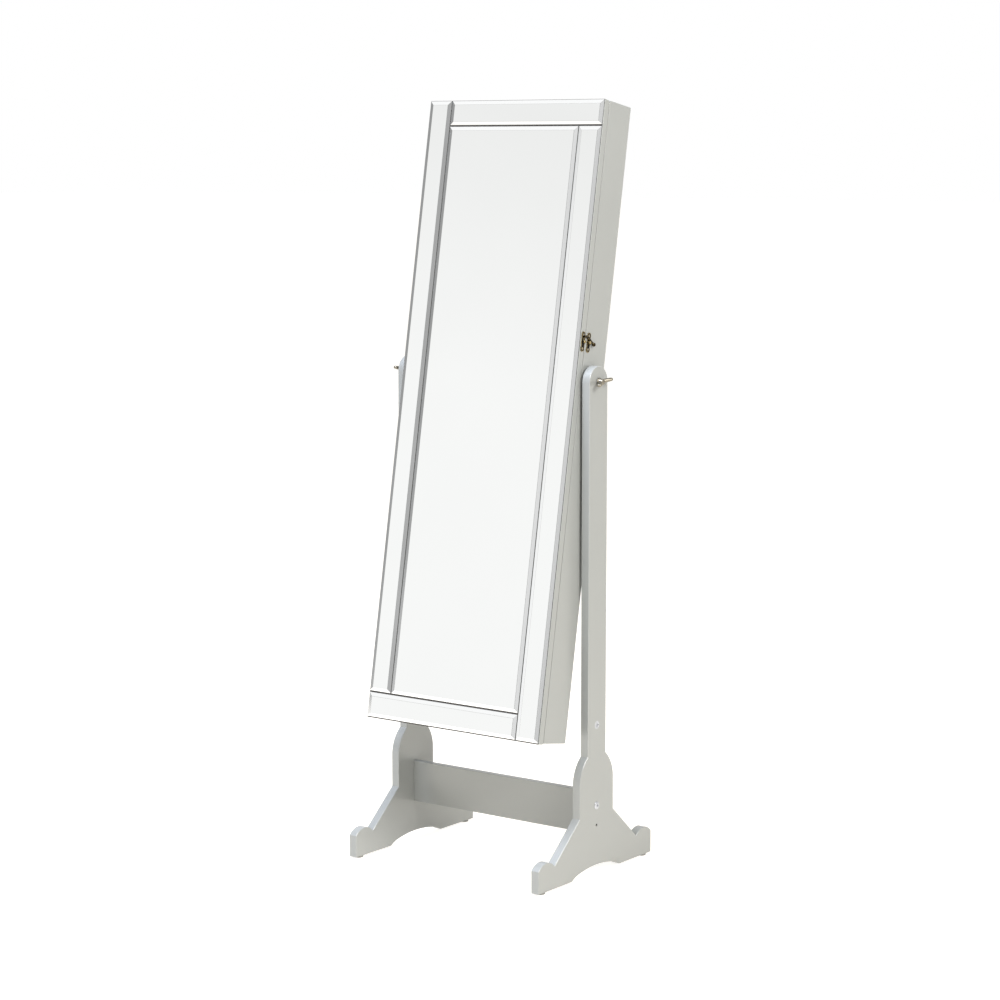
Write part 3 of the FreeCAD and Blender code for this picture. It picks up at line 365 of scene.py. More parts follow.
def plated_metal(name, tint, rough):
    """Plated steel, tumbled and buffed: bright, with fine marks that widen the highlights. The marks are
    drawn at 0.6 mm, coarser than they are, so that they show."""
    material, tree, shader, place = start_material(name)
    marks = add(tree, "ShaderNodeTexNoise", [("Vector", place)], Scale=size_of(0.6), Detail=4.0)
    patch = add(tree, "ShaderNodeTexNoise", [("Vector", place)], Scale=size_of(6), Detail=2.0)
    tone = two_tone(tree, patch.outputs["Fac"], rgba(tint, 0.86), rgba(tint, 1.0))
    tree.links.new(tone, shader.inputs["Base Color"])
    tree.links.new(spread(tree, marks.outputs["Fac"], rough - 0.05, rough + 0.1), shader.inputs["Roughness"])
    bump = add(tree, "ShaderNodeBump", [("Height", marks.outputs["Fac"])], Strength=0.12, Distance=0.03 * MM)
    tree.links.new(bump.outputs["Normal"], shader.inputs["Normal"])
    shader.inputs["Metallic"].default_value = 1.0
    return material


def antique_bronze(name, low, high):
    """Cast zinc, bronze-plated and darkened, then rubbed: brown-black with golden metal where it is
    handled."""
    material, tree, shader, place = start_material(name)
    patina = add(tree, "ShaderNodeTexNoise", [("Vector", place)],
                 Scale=size_of(3.0), Detail=5.0, Roughness=0.65)
    tone = two_tone(tree, patina.outputs["Fac"], rgba(low), rgba(high), low=0.47, high=0.74)
    tree.links.new(tone, shader.inputs["Base Color"])
    tree.links.new(spread(tree, patina.outputs["Fac"], 0.5, 0.24), shader.inputs["Roughness"])
    bump = add(tree, "ShaderNodeBump", [("Height", patina.outputs["Fac"])], Strength=0.4, Distance=0.15 * MM)
    tree.links.new(bump.outputs["Normal"], shader.inputs["Normal"])
    shader.inputs["Metallic"].default_value = 1.0
    return material


def velveteen(name, tint):
    """Short-pile cotton velvet glued on: deep and dull face on, pale where the pile is seen sideways, with
    the nap brushed unevenly. The pile is drawn at 1 mm, coarser than it is, so that it shows."""
    material, tree, shader, place = start_material(name)
    nap = add(tree, "ShaderNodeTexNoise", [("Vector", place)], Scale=size_of(35), Detail=3.0)
    pile = add(tree, "ShaderNodeTexNoise", [("Vector", place)], Scale=size_of(1.0), Detail=3.0)
    tone = two_tone(tree, nap.outputs["Fac"], rgba(tint, 0.8), rgba(tint, 1.35))
    tree.links.new(tone, shader.inputs["Base Color"])
    bump = add(tree, "ShaderNodeBump", [("Height", pile.outputs["Fac"])], Strength=0.6, Distance=0.3 * MM)
    tree.links.new(bump.outputs["Normal"], shader.inputs["Normal"])
    shader.inputs["Roughness"].default_value = 0.95
    shader.inputs["Sheen Weight"].default_value = 0.6
    shader.inputs["Sheen Roughness"].default_value = 0.4
    return material


def bare_beech(name, tint):
    """Turned beech left bare: pale pink-brown with short darker flecks along the grain."""
    material, tree, shader, place = start_material(name)
    along = add(tree, "ShaderNodeMapping", [("Vector", place)], Scale=(0.15, 1.0, 1.0))
    fleck = add(tree, "ShaderNodeTexNoise", [("Vector", along.outputs["Vector"])],
                Scale=size_of(1.2), Detail=4.0)
    tone = two_tone(tree, fleck.outputs["Fac"], rgba(tint, 0.72), rgba(tint, 1.05))
    tree.links.new(tone, shader.inputs["Base Color"])
    bump = add(tree, "ShaderNodeBump", [("Height", fleck.outputs["Fac"])], Strength=0.2, Distance=0.1 * MM)
    tree.links.new(bump.outputs["Normal"], shader.inputs["Normal"])
    shader.inputs["Roughness"].default_value = 0.6
    return material


def moulded_plastic(name, tint, rough):
    """Injection-moulded polyamide, and glass ground dull: matt with a fine even texture, drawn at 0.7 mm,
    coarser than it is, so that it shows."""
    material, tree, shader, place = start_material(name)
    texture = add(tree, "ShaderNodeTexNoise", [("Vector", place)], Scale=size_of(0.7), Detail=3.0)
    tone = two_tone(tree, texture.outputs["Fac"], rgba(tint, 0.93), rgba(tint, 1.04))
    tree.links.new(tone, shader.inputs["Base Color"])
    bump = add(tree, "ShaderNodeBump", [("Height", texture.outputs["Fac"])],
               Strength=0.25, Distance=0.05 * MM)
    tree.links.new(bump.outputs["Normal"], shader.inputs["Normal"])
    shader.inputs["Roughness"].default_value = rough
    return material


FINISHES = {}


def finish(name):
    """The material of that name, made when it is first asked for."""
    if name not in FINISHES:
        c = colours()
        makers = {
            "lacquer": lambda: satin_lacquer("Satin silver lacquer", c.lacquer, 0.34),
            "back_paint": lambda: flat_paint("Flat paint on hardboard", c.back_paint),
            "silvering": lambda: silvered_glass("Silvered float glass", c.silvering, 0.012),
            "bevel": lambda: silvered_glass("Ground bevel", c.bevel, 0.05),
            "bevel_line": lambda: silvered_glass("Line of the bevel", c.bevel_line, 0.12),
            "glass_edge": lambda: moulded_plastic("Cut glass edge", c.glass_edge, 0.25),
            # The seamed rim's near-black colour is painted shade.
            "glass_seam": lambda: moulded_plastic("Seamed glass rim", c.glass_seam, 0.4),
            "nickel": lambda: plated_metal("Satin nickel plate", c.nickel, 0.27),
            "zinc": lambda: plated_metal("Zinc-plated steel", c.zinc, 0.34),
            "bronze": lambda: antique_bronze("Antique bronze", c.bronze_low, c.bronze_high),
            "bronze_dark": lambda: antique_bronze("Bronze in the hollows", c.bronze_low, c.bronze_low),
            "bronze_rim": lambda: antique_bronze("Rubbed bronze rim", c.bronze_high, c.bronze_rim),
            "velveteen": lambda: velveteen("Charcoal velveteen", c.velveteen),
            "beech": lambda: bare_beech("Bare beech", c.beech),
            "plastic": lambda: moulded_plastic("Grey polyamide", c.plastic, 0.5),
            "bumper": lambda: moulded_plastic("Soft clear bumper", c.bumper, 0.35),
        }
        FINISHES[name] = makers[name]()
    return FINISHES[name]


SLOT_FINISH = {                       # finish of each material slot of the CAD nodes
    "silver_paint": "lacquer", "back_board": "back_paint", "velvet": "velveteen", "velvet_board": "velveteen",
    "cushion": "velveteen", "bare_wood": "beech", "mirror_glass": "silvering", "nickel": "nickel",
    "zinc_steel": "zinc", "bronze": "bronze", "grey_plastic": "plastic", "clear_rubber": "bumper",
}
NODE_FINISH = {"cam_locks": "zinc"}   # nodes whose finish isn't their slot's


# ---- pieces

class MIRROR_OT_finishes(bpy.types.Operator):
    """Give each board, fitting and lining that keeps its shape its own finish"""
    bl_idname = "mirror.finishes"
    bl_label = "Finishes"

    def execute(self, context):
        for part in frame["record"]["subparts"]:
            material = finish(NODE_FINISH.get(part["node"], SLOT_FINISH[part["material_slot"]]))
            for place in frame["nodes"][part["node"]].material_slots:
                place.material = material
        return {"FINISHED"}


def rectangle_rings(low, high, steps):
    """Nested rectangles of a tile: each step (inset, back) shrinks the outline and sets how far back it
    lies."""
    rings = []
    for inset, back in steps:
        left, right = low[0] + inset, high[0] - inset
        bottom, top = low[2] + inset, high[2] - inset
        rings.append([(left, back, bottom), (right, back, bottom), (right, back, top), (left, back, top)])
    return np.array(rings)


BACK_ARRIS = 0.2 * MM                 # chamfer round the back of the glass
BEVEL_LINE = 0.5 * MM                 # width of the line where a bevel meets the flat
LINE_DROP = 0.1 * MM                  # how far that line falls


class MIRROR_OT_tiles(bpy.types.Operator):
    """Five mirror tiles with ground bevels, a seamed rim darkened as painted shade and the line where bevel meets
    flat
    """
    bl_idname = "mirror.tiles"
    bl_label = "Mirror tiles"

    def execute(self, context):
        materials = [finish(name) for name in
                     ("glass_edge", "bevel", "bevel_line", "silvering", "glass_seam")]
        for name in ("centre", "left", "right", "top", "bottom"):
            low, high = cabinet_box("mirror_" + name)
            rings, numbers = self.tile(low, high)
            make_piece(f"mirror_{name}_glass", "door", [(on_cabinet(rings), numbers)], materials,
                       "mirror_" + name, sharp=1)
        return {"FINISHED"}

    def tile(self, low, high):
        """Back, cut edge, seamed rim, then a plane bevel, the line where it meets the flat, and the flat. The back
        arris and the seamed rim are near black, painted shade for the dark lines at the joints. The rim's inner
        ring is raised along the lower edge, where the seam is wider and its painted shade makes a dark line."""
        s = sizes()
        front, back = low[1], high[1]
        rings = rectangle_rings(low, high, [
            (BACK_ARRIS, back), (0, back - BACK_ARRIS), (0, front + s.bevel_depth + s.seamed_edge),
            (s.seamed_edge, front + s.bevel_depth), (s.bevel_width - BEVEL_LINE, front + LINE_DROP),
            (s.bevel_width, front)])
        # Wider near-black seam along the lower edge: painted shade.
        rings[3, :2, 2] += s.lower_edge_shade_width
        return rings, np.array([0, 4, 0, 4, 1, 2, 3])


WING_RISE = 22 * MM                   # collar to the wings' tips
SHANK_END = ((0, 2.6), (1.2, 4))      # from the shank's inner end: mm out, radius
HUB = (                               # from the collar's inner face: mm out, radius
    (0, 4), (0, 7.4), (0.4, 7.9), (1.3, 8), (1.9, 7.5), (2.1, 7.2), (4, 6.6), (8, 6))
HUB_DOME = (9.6, 5.7, 1.6)            # from there: mm out, radius, height
WING_ROOT = (4.8, 2.5)                # mm, start of a wing's middle line: out from the collar, off the axis
WING_RUN = (12.2, 21)                 # mm, how far the line runs from there: out, and off the axis
WING_HALF_WIDTH = (3.2, 1.9)          # mm, at the root, and what it gains towards the tip


class MIRROR_OT_wing_bolts(bpy.types.Operator):
    """The two wing bolts that clamp the cabinet between the posts"""
    bl_idname = "mirror.wing_bolts"
    bl_label = "Wing bolts"

    def execute(self, context):
        s = sizes()
        for side, tag, turn in ((1, "right", s.wing_turn_right), (-1, "left", s.wing_turn_left)):
            node = "wing_bolt_" + tag
            low, high = model_box(node)
            inner, outer = (low[0], high[0]) if side > 0 else (-high[0], -low[0])
            shells = [self.shank_and_hub(inner, outer)] + [self.wing(outer, hand) for hand in (1, -1)]
            placed = []
            for rings in shells:
                turned_rings = turn_about_x(rings, turn)
                if side < 0:
                    turned_rings = turned_rings * np.array([-1, -1, 1])
                placed.append((turned_rings + np.array([0, PIVOT[1], PIVOT[2]]), 0))
            make_piece(node + "_cast", node, placed, [finish("nickel")], node, sharp=40)
        return {"FINISHED"}

    def shank_and_hub(self, inner, outer):
        """Lathe work: shank with a chamfered end, collar with a rolled rim, tapered hub and a domed end."""
        collar = outer - WING_RISE
        return turned(profile_from(inner, SHANK_END) + profile_from(collar, HUB)
                      + dome_from(collar, HUB_DOME))

    def wing(self, outer, hand):
        """Wing swept from the hub to the tip along a line that curves outwards as a power of the way along.
        Its half width grows like a sine to a paddle, and its last fifth rounds off like the end of an
        ellipse."""
        along = np.linspace(0, 1, 26)
        collar = outer - WING_RISE
        path = np.zeros((len(along), 3))
        path[:, 0] = collar + (WING_ROOT[0] + WING_RUN[0] * along ** 1.35) * MM
        path[:, 1] = hand * (WING_ROOT[1] + WING_RUN[1] * along) * MM
        round_end = np.sqrt(np.clip(1 - np.clip((along - 0.8) / 0.2, 0, 1) ** 2, 0.004, 1))
        root, gain = WING_HALF_WIDTH
        half_wide = (root + gain * np.sin(np.pi * np.clip(along * 0.62, 0, 0.5))) * MM * round_end
        half_thick = (sizes().wing_thick / 2) * (1.15 - 0.3 * along) * (0.35 + 0.65 * round_end)
        return swept(path, half_wide, half_thick, (0, 0, 1), squareness=2.4)


PLATE_LOBE = 6.2 * MM                 # radius of the three lobes of a latch plate
PLATE_BAR = 5.3 * MM                  # half width of the plate between them
PLATE_EDGE = 0.4 * MM                 # rounding along its outline
RIM_WIDTH = 0.9 * MM                  # flat top of the raised rim
HOLLOW_INSET = 1.2 * MM               # from the rounding's inner line to the hollow inside the rim
HOLLOW_DEPTH = 0.45 * MM
LOBE_TIP = 0.02 * MM                  # half width at the plate's two ends
SCREW_EDGE = ((-0.6, 2.3),)           # from the plate's face: mm out, radius
SCREW_DOME = (-0.4, 2.3, 0.8)         # from there: mm out, radius, height
PIN_RADIUS = 1.5 * MM                 # stud and pivot, below their heads
PIN_HEAD = (                          # from a pin's outer end: mm out, radius
    (-1.8, 1.5), (-1.75, 2.9), (-1.4, 3.2))
PIN_DOME = (-1.2, 3.15, 1.2)          # from there: mm out, radius, height
ARM_LIFT = 0.3 * MM                   # gap under the arm
ARM_HALF_THICK = 1.1 * MM
ARM_BOSS = (                          # from the arm's underside: mm out, radius
    (0, 4.2), (0.3, 4.6), (1.9, 4.6), (2.2, 4.2))
HOOK_RADIUS = 11 * MM                 # of the arc that the hook's middle line follows
HOOK_TURN = 195                       # degrees of that arc, from the pivot to the beak
HOOK_TAPER = (                        # degrees along the arc, half width in mm
    (0, 150, 180, 195), (2.4, 1.8, 1.5, 0.5))
TAIL_ROOT = math.radians(53)          # where on the arc the tail starts
TAIL_DIP = math.radians(35)           # how steeply it falls
TAIL_LENGTH = 17 * MM
TAIL_RISE = 1.6 * MM                  # how far it lifts off the plate by its end
TAIL_HALF_WIDTH = (2.7, 2.6)          # mm, at the root and at the ball
BALL_RADIUS = 4 * MM
BALL_ALONG, BALL_OUT = 19.4 * MM, 2.6 * MM    # its middle from the tail's start


def plate_rings(low, high):
    """Plate of three lobes: its half width at each height is that of the lobes' circles or of the bar between
    them, whichever is wider. The rings climb from the board and draw in for a rounded edge, and the last
    sinks inside the raised rim."""
    middle, centre = (low[1] + high[1]) / 2, (low[2] + high[2]) / 2
    reach = (high[2] - low[2]) / 2
    end = reach - PLATE_LOBE
    rings = []
    for out, inset in ((low[0], 0), (high[0] - PLATE_EDGE, 0),
                       (high[0] - PLATE_EDGE * 0.3, PLATE_EDGE * 0.3), (high[0], PLATE_EDGE),
                       (high[0], PLATE_EDGE + RIM_WIDTH),
                       (high[0] - HOLLOW_DEPTH, PLATE_EDGE + HOLLOW_INSET)):
        up = -np.cos(np.linspace(0, np.pi, 49)) * (reach - inset)
        circles = [np.sqrt(np.clip((PLATE_LOBE - inset) ** 2 - (up - at) ** 2, 0, None))
                   for at in (-end, 0, end)]
        bar = np.where(np.abs(up) < end, PLATE_BAR - inset, 0)
        half = np.maximum(np.maximum(np.max(circles, axis=0), bar), LOBE_TIP)
        side = np.stack([np.full_like(up, out), middle + half, centre + up], axis=1)
        other = np.stack([np.full_like(up, out), middle - half, centre + up], axis=1)[::-1]
        rings.append(np.concatenate([side, other]))
    return np.array(rings)


class MIRROR_OT_latch(bpy.types.Operator):
    """Bronze hook latch: two plates with their screws, the stud, the pivot and the hooked arm"""
    bl_idname = "mirror.latch"
    bl_label = "Latch"

    def execute(self, context):
        bronze = [finish("bronze"), finish("bronze_dark"), finish("bronze_rim")]
        for tag, body, post in (("door", "door", "stud"), ("cabinet", "cabinet", "pivot")):
            plate = "latch_" + tag + "_plate"
            low, high = cabinet_box(plate)
            # Material 2, the bright rim bronze, goes on the raised rim and the screw heads: rubbed metal with a
            # painted highlight.
            shells = [(plate_rings(low, high), np.array([0, 0, 2, 2, 2, 1, 1]))]
            for up in (low[2] + PLATE_LOBE, high[2] - PLATE_LOBE):
                head = turned(profile_from(high[0], SCREW_EDGE) + dome_from(high[0], SCREW_DOME), around=20)
                shells.append((head + np.array([0, (low[1] + high[1]) / 2, up]), 2))
            make_piece(plate + "_cast", body, [(on_cabinet(rings), numbers) for rings, numbers in shells],
                       bronze, plate)
            low, high = cabinet_box("latch_" + post)
            middle = (low + high) / 2
            # The pin's head is in the bright rim bronze: rubbed metal with a painted highlight.
            pin = turned([(low[0], PIN_RADIUS)] + profile_from(high[0], PIN_HEAD)
                         + dome_from(high[0], PIN_DOME), around=32)
            rings = pin + np.array([0, middle[1], middle[2]])
            make_piece(f"latch_{post}_head", body, [(on_cabinet(rings), 2)], bronze,
                       "latch_" + post)
        make_piece("latch_arm_cast", "latch_arm", [(on_cabinet(rings), 0) for rings in self.arm()], bronze,
                   "latch_arm")
        return {"FINISHED"}

    def arm(self):
        """Hook along an arc over the stud that thins to its beak, round boss on the pivot, tail that leaves
        the hook and ends in a ball for the finger."""
        pivot = (np.array(JOINTS["latch_lift"]["pos_m"]) - PIVOT) @ LEAN
        outwards = np.array([1, 0, 0])
        under = cabinet_box("latch_arm")[0][0] + ARM_LIFT
        centre = np.array([under + ARM_HALF_THICK, pivot[1] - HOOK_RADIUS, pivot[2]])
        angle = np.radians(np.linspace(0, HOOK_TURN, 40))
        arc = centre + HOOK_RADIUS * np.stack([0 * angle, np.cos(angle), np.sin(angle)], axis=1)
        taper = np.interp(np.degrees(angle), *HOOK_TAPER) * MM
        hook = swept(arc, taper, np.full(len(arc), ARM_HALF_THICK), outwards, around=20, squareness=3)
        boss = turned(profile_from(under, ARM_BOSS), around=32) + np.array([0, pivot[1], pivot[2]])
        root = centre + HOOK_RADIUS * np.array([0, math.cos(TAIL_ROOT), math.sin(TAIL_ROOT)])
        ahead = np.array([0, math.cos(TAIL_DIP), -math.sin(TAIL_DIP)])
        along = np.linspace(0, 1, 16)
        line = root + along[:, None] * ahead * TAIL_LENGTH + outwards * (TAIL_RISE * along ** 2)[:, None]
        half_wide = np.interp(along, (0, 1), TAIL_HALF_WIDTH) * MM
        tail = swept(line, half_wide, np.full(len(line), ARM_HALF_THICK), outwards, around=20, squareness=3)
        round_profile = [(BALL_RADIUS * math.cos(a), BALL_RADIUS * math.sin(a))
                         for a in np.radians(np.linspace(176, 4, 21))]
        ball = turned(round_profile, around=32) + root + ahead * BALL_ALONG + outwards * BALL_OUT
        return hook, boss, tail, ball


BOLT_INTO_STRETCHER = 32 * MM         # from the foot panel's inner face to the bolt's end
BOLT_END = ((0, 2.4), (0.8, 3))       # from the bolt's inner end: mm out, radius
BOLT_HEAD = (                         # from the foot panel's face: mm out, radius
    (0, 3), (0, 7.6), (0.4, 8))
HEAD_RIM = 0.4 * MM                   # height at which the dome starts
HEAD_RADIUS = 8 * MM
SOCKET_FLAT = 2.2 * MM                # from the axis to a flat of the socket
SOCKET_DEPTH = 1.8 * MM


class MIRROR_OT_stretcher_bolts(bpy.types.Operator):
    """Connecting bolts with domed heads and a hexagonal socket"""
    bl_idname = "mirror.stretcher_bolts"
    bl_label = "Stretcher bolts"

    def execute(self, context):
        low, high = model_box("stretcher_bolts")
        middle = (low + high) / 2
        panel_low, panel_high = model_box("foot_panel_right")
        rings = self.bolt(panel_low[0] - BOLT_INTO_STRETCHER, panel_high[0], high[0])
        shells = [(rings + np.array([0, middle[1], middle[2]]), 0),
                  (rings * np.array([-1, -1, 1]) + np.array([0, middle[1], middle[2]]), 0)]
        make_piece("stretcher_bolt_pair", "stand", shells, [finish("zinc")], "stretcher_bolts")
        return {"FINISHED"}

    def bolt(self, inner, panel, outer):
        """Lathe work out to the dome, part of an ellipse; the socket's rings follow a hexagon, whose radius
        is the flat's distance over the cosine of the angle from that flat's middle."""
        dome_high = outer - panel - HEAD_RIM
        rings = turned(profile_from(inner, BOLT_END) + profile_from(panel, BOLT_HEAD)
                       + [(panel + HEAD_RIM + dome_high * math.sin(a), HEAD_RADIUS * math.cos(a))
                          for a in np.radians(np.linspace(10, 66, 8))])
        angle = np.linspace(0, 2 * np.pi, rings.shape[1], endpoint=False)
        hexagon = SOCKET_FLAT / np.cos(np.mod(angle, np.pi / 3) - np.pi / 6)
        across, up = hexagon * np.cos(angle), hexagon * np.sin(angle)
        socket = [np.stack([np.full_like(angle, out), across, up], axis=1)
                  for out in (outer, outer - SOCKET_DEPTH)]
        return np.concatenate([rings, np.array(socket)])


FRONT_SHARE = 0.75                    # share of a cushion's ring that is its rolled front
BACK_GAP = 0.1 * MM                   # between the cushion's back and the lining
WAVE_HIGH = 0.35 * MM                 # how far the slow waves move the rolls' face


class MIRROR_OT_ring_cushions(bpy.types.Operator):
    """Two soft ring cushions, each a stack of rolls sewn side by side"""
    bl_idname = "mirror.ring_cushions"
    bl_label = "Ring cushions"

    def execute(self, context):
        for tag in ("left", "right"):
            node = "ring_cushion_" + tag
            low, high = cabinet_box(node)
            piece = make_piece(node + "_soft", "cabinet", [(on_cabinet(self.rolls(low, high)), 0)],
                               [finish("velveteen")], node, sharp=70)
        return {"FINISHED"}

    def rolls(self, low, high):
        """Rings along the rolls. Going round, the front swells in one blunted half sine for each roll and
        pinches at the seams, and the back is flat on the lining. Along it, the section shrinks at the ends
        like a superellipse, and slow waves of a fraction of a millimetre keep the rolls from being too
        even."""
        count = sizes().ring_rolls
        across = np.linspace(-1, 1, 97)
        turn = np.linspace(0, 1, 40 * count, endpoint=False)
        front = turn < FRONT_SHARE
        share = np.where(front, turn / FRONT_SHARE, 1 - (turn - FRONT_SHARE) / (1 - FRONT_SHARE))
        bulge = np.abs(np.sin(np.pi * count * share)) ** 0.55
        ends = np.clip(1 - np.abs(across) ** 14, 0.0, 1) ** (1 / 3)
        width, depth, height = high - low
        wave = WAVE_HIGH * np.sin(9 * across)[:, None] * np.sin(np.pi * count * share + 1.3)
        swell = np.where(front, 0.45 + 0.55 * bulge, 0.0)
        rings = np.empty((len(across), len(turn), 3))
        rings[..., 0] = (low[0] + width * (across + 1) / 2)[:, None]
        rise = depth * 0.97 * swell * (0.25 + 0.75 * ends[:, None])
        rings[..., 1] = high[1] - BACK_GAP - rise + np.where(front, wave, 0)
        squeeze = 0.9 + 0.1 * ends[:, None]
        rings[..., 2] = (low[2] + high[2]) / 2 + height * 0.99 * (share - 0.5) * squeeze
        return rings


# ---- stage

WALL_BY_HEIGHT = (                     # sine of the elevation, brightness
    (0.0, 0.955), (0.06, 0.955), (0.19, 0.945), (0.29, 0.86), (0.36, 0.98), (0.43, 1.0), (1.0, 1.04))
FLAGS_BY_HEADING = (                   # degrees from the front towards the left, brightness
    (-180, 1), (4, 1), (4.6, 0.25), (6.9, 0.25), (7.08, 1), (8.6, 1), (9.2, 0.42), (19, 0.42), (21, 1),
    (65.2, 1), (65.6, 0.34), (86, 0.34), (92, 1))
DULL_SHARE = (0.38, 0.385, 0.39, 1)   # light of the studio on dull surfaces
FLOOR_GLOW = 0.82                     # keeps the floor as pale as the studio's wall
LAMPS = (                             # name, place, aim, side in metres, watts, colour
    ("Right lamp", (4.0, -0.9, 3.4), (0, 0, 0.7), 2.2, 160, "FFFDFA"),
    ("Top lamp", (-0.4, -1.9, 4.3), (0, 0, 0.5), 2.0, 225, "E4ECFF"))
CAMERA_PLACE = (3.1101, -4.2157, 1.4379)
CAMERA_DOWN, CAMERA_HEADING = 7.631, 36.431   # degrees below level, and round from straight ahead
SENSOR, LENS = 36, 94.49              # mm


def stepped(tree, factor, stops):
    """Ramp through (position from 0 to 1, brightness) stops."""
    ramp = add(tree, "ShaderNodeValToRGB", [("Fac", factor)])
    elements = ramp.color_ramp.elements
    elements.remove(elements[1])
    elements[0].position = stops[0][0]
    elements[0].color = (stops[0][1],) * 3 + (1,)
    for position, level in stops[1:]:
        elements.new(position).color = (level, level, level, 1)
    return ramp.outputs["Color"]


def studio_world():
    """Seamless white studio. The mirror's flats look into a bright wall whose brightness changes a little
    with height. Three upright flags shade the bevels that face them: a narrow dark one and a grey one just
    left of the front, and a wide grey one far to the left. Dull surfaces get an even, softer light."""
    world = bpy.data.worlds.new("Studio")
    bpy.context.scene.world = world
    world.use_nodes = True
    tree = world.node_tree
    tree.nodes.clear()
    heading = add(tree, "ShaderNodeTexCoord").outputs["Generated"]
    parts = add(tree, "ShaderNodeSeparateXYZ", [("Vector", heading)]).outputs
    wall = stepped(tree, parts["Z"], WALL_BY_HEIGHT)
    left = add(tree, "ShaderNodeMath", [(0, parts["X"])], operation="MULTIPLY")
    ahead = add(tree, "ShaderNodeMath", [(0, parts["Y"])], operation="MULTIPLY")
    left.inputs[1].default_value = ahead.inputs[1].default_value = -1
    turn = add(tree, "ShaderNodeMath", [(0, left.outputs[0]), (1, ahead.outputs[0])], operation="ARCTAN2")
    share = add(tree, "ShaderNodeMapRange", [("Value", turn.outputs[0])],
                From_Min=-math.pi, From_Max=math.pi)
    flags = stepped(tree, share.outputs["Result"],
                    [(at / 360 + 0.5, level) for at, level in FLAGS_BY_HEADING])
    bright = add(tree, "ShaderNodeMix", [(MIX_A, wall), (MIX_B, flags)],
                 data_type="RGBA", blend_type="MULTIPLY")
    bright.inputs[0].default_value = 1
    path = add(tree, "ShaderNodeLightPath").outputs
    shown = add(tree, "ShaderNodeMix", [(0, path["Is Glossy Ray"]), (MIX_B, bright.outputs[MIX_RESULT])],
                data_type="RGBA")
    shown.inputs[MIX_A].default_value = DULL_SHARE
    final = add(tree, "ShaderNodeMix", [(0, path["Is Camera Ray"]), (MIX_A, shown.outputs[MIX_RESULT])],
                data_type="RGBA")
    final.inputs[MIX_B].default_value = (1, 1, 1, 1)
    sky = add(tree, "ShaderNodeBackground", [("Color", final.outputs[MIX_RESULT])], Strength=1.0)
    add(tree, "ShaderNodeOutputWorld", [("Surface", sky.outputs["Background"])])


def soft_box(name, place, target, size, watts, tint):
    """Square lamp turned to face its target."""
    lamp = bpy.data.lights.new(name, "AREA")
    lamp.shape, lamp.size, lamp.energy, lamp.color = "SQUARE", size, watts, linear(tint)
    piece = bpy.data.objects.new(name, lamp)
    bpy.context.collection.objects.link(piece)
    piece.location = place
    aim = np.array(target) - np.array(place)
    flat = math.hypot(aim[0], aim[1])
    piece.rotation_euler = (math.atan2(flat, -aim[2]), 0, math.atan2(-aim[0], aim[1]))


def studio_floor():
    """Pale matt floor that glows by itself to the eye and in reflections, but lights no dull surface."""
    half = sizes().floor_size / 2
    mesh = bpy.data.meshes.new("floor")
    corners = [(-half, -half, 0), (half, -half, 0), (half, half, 0), (-half, half, 0)]
    mesh.from_pydata(corners, [], [(0, 1, 2, 3)])
    material, tree, shader, place = start_material("Pale studio floor")
    cloud = add(tree, "ShaderNodeTexNoise", [("Vector", place)], Scale=0.8, Detail=2.0)
    tone = two_tone(tree, cloud.outputs["Fac"], rgba(colours().floor, 0.99), rgba(colours().floor))
    tree.links.new(tone, shader.inputs["Base Color"])
    shader.inputs["Roughness"].default_value = 0.9
    shader.inputs["Specular IOR Level"].default_value = 0.1
    shader.inputs["Emission Color"].default_value = (1, 1, 1, 1)
    dull = add(tree, "ShaderNodeLightPath").outputs["Is Diffuse Ray"]
    glow = add(tree, "ShaderNodeMapRange", [("Value", dull)], To_Min=FLOOR_GLOW, To_Max=0.0)
    tree.links.new(glow.outputs[0], shader.inputs["Emission Strength"])
    mesh.materials.append(material)
    floor = bpy.data.objects.new("floor", mesh)
    bpy.context.collection.objects.link(floor)


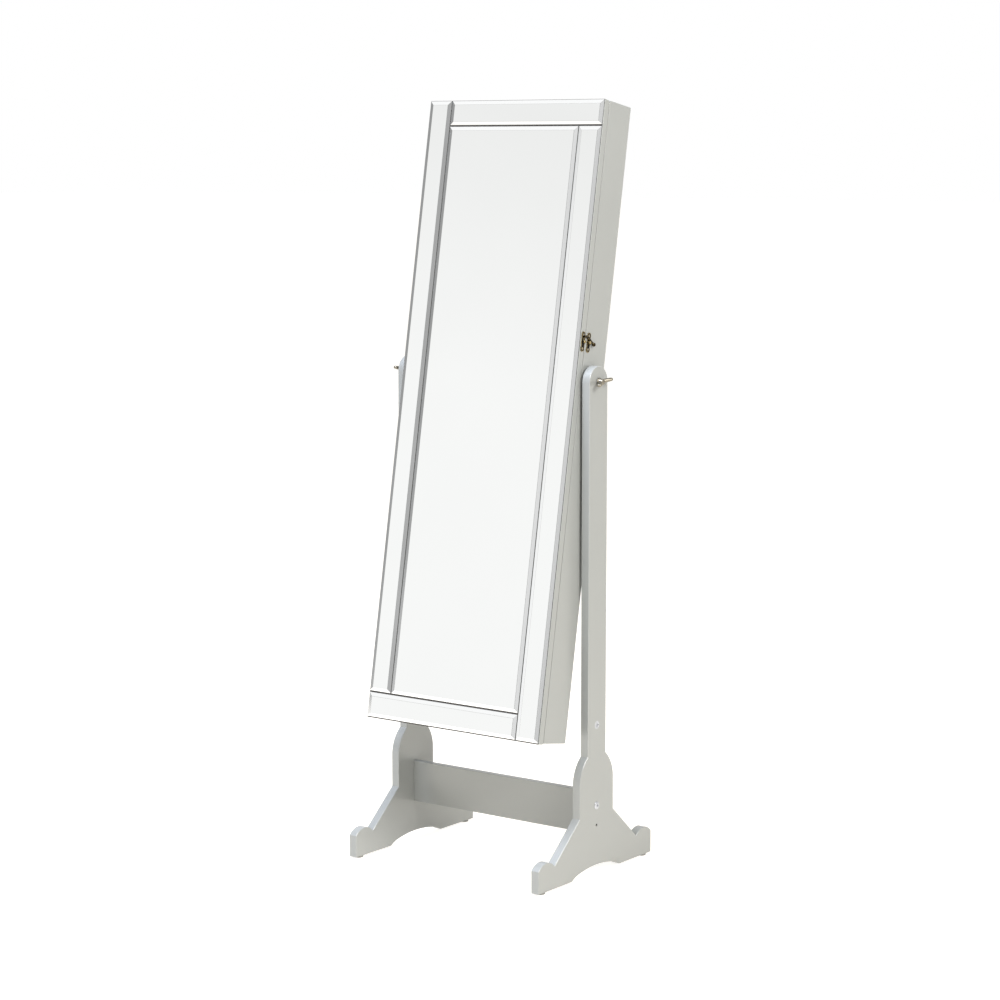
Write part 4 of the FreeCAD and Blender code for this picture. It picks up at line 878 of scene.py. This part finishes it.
class MIRROR_OT_stage(bpy.types.Operator):
    """Pale floor, soft studio light and the camera"""
    bl_idname = "mirror.stage"
    bl_label = "Stage"

    def execute(self, context):
        studio_world()
        studio_floor()
        for lamp in LAMPS:
            soft_box(*lamp)
        camera = bpy.data.cameras.new("Camera")
        camera.sensor_width, camera.lens = SENSOR, LENS
        camera.dof.use_dof = False
        camera.clip_end = 100
        piece = bpy.data.objects.new("Camera", camera)
        bpy.context.collection.objects.link(piece)
        piece.location = CAMERA_PLACE
        piece.rotation_euler = (math.radians(90 - CAMERA_DOWN), 0, math.radians(CAMERA_HEADING))
        context.scene.camera = piece
        context.scene.view_settings.view_transform = "Standard"
        return {"FINISHED"}


OPERATORS = (MIRROR_OT_finishes, MIRROR_OT_tiles, MIRROR_OT_wing_bolts, MIRROR_OT_latch,
             MIRROR_OT_stretcher_bolts, MIRROR_OT_ring_cushions, MIRROR_OT_stage)


class MIRROR_PT_panel(bpy.types.Panel):
    """Sizes, colours and steps of the cheval mirror"""
    bl_idname = "MIRROR_PT_panel"
    bl_label = "Cheval mirror"
    bl_space_type = "VIEW_3D"
    bl_region_type = "UI"
    bl_category = "Mirror"

    def draw(self, context):
        for group in (context.scene.mirror_sizes, context.scene.mirror_colours):
            box = self.layout.box()
            for name in group.__annotations__:
                box.prop(group, name)
        for operator in OPERATORS:
            self.layout.operator(operator.bl_idname)


CLASSES = (MirrorSizes, MirrorColours) + OPERATORS + (MIRROR_PT_panel,)


def register():
    for cls in CLASSES:
        bpy.utils.register_class(cls)
    bpy.types.Scene.mirror_sizes = PointerProperty(type=MirrorSizes)
    bpy.types.Scene.mirror_colours = PointerProperty(type=MirrorColours)


def unregister():
    del bpy.types.Scene.mirror_colours
    del bpy.types.Scene.mirror_sizes
    for cls in reversed(CLASSES):
        bpy.utils.unregister_class(cls)


def main():
    register()
    bpy.ops.mirror.finishes()
    bpy.ops.mirror.tiles()
    bpy.ops.mirror.wing_bolts()
    bpy.ops.mirror.latch()
    bpy.ops.mirror.stretcher_bolts()
    bpy.ops.mirror.ring_cushions()
    bpy.ops.mirror.stage()


if __name__ == "__main__":
    main()
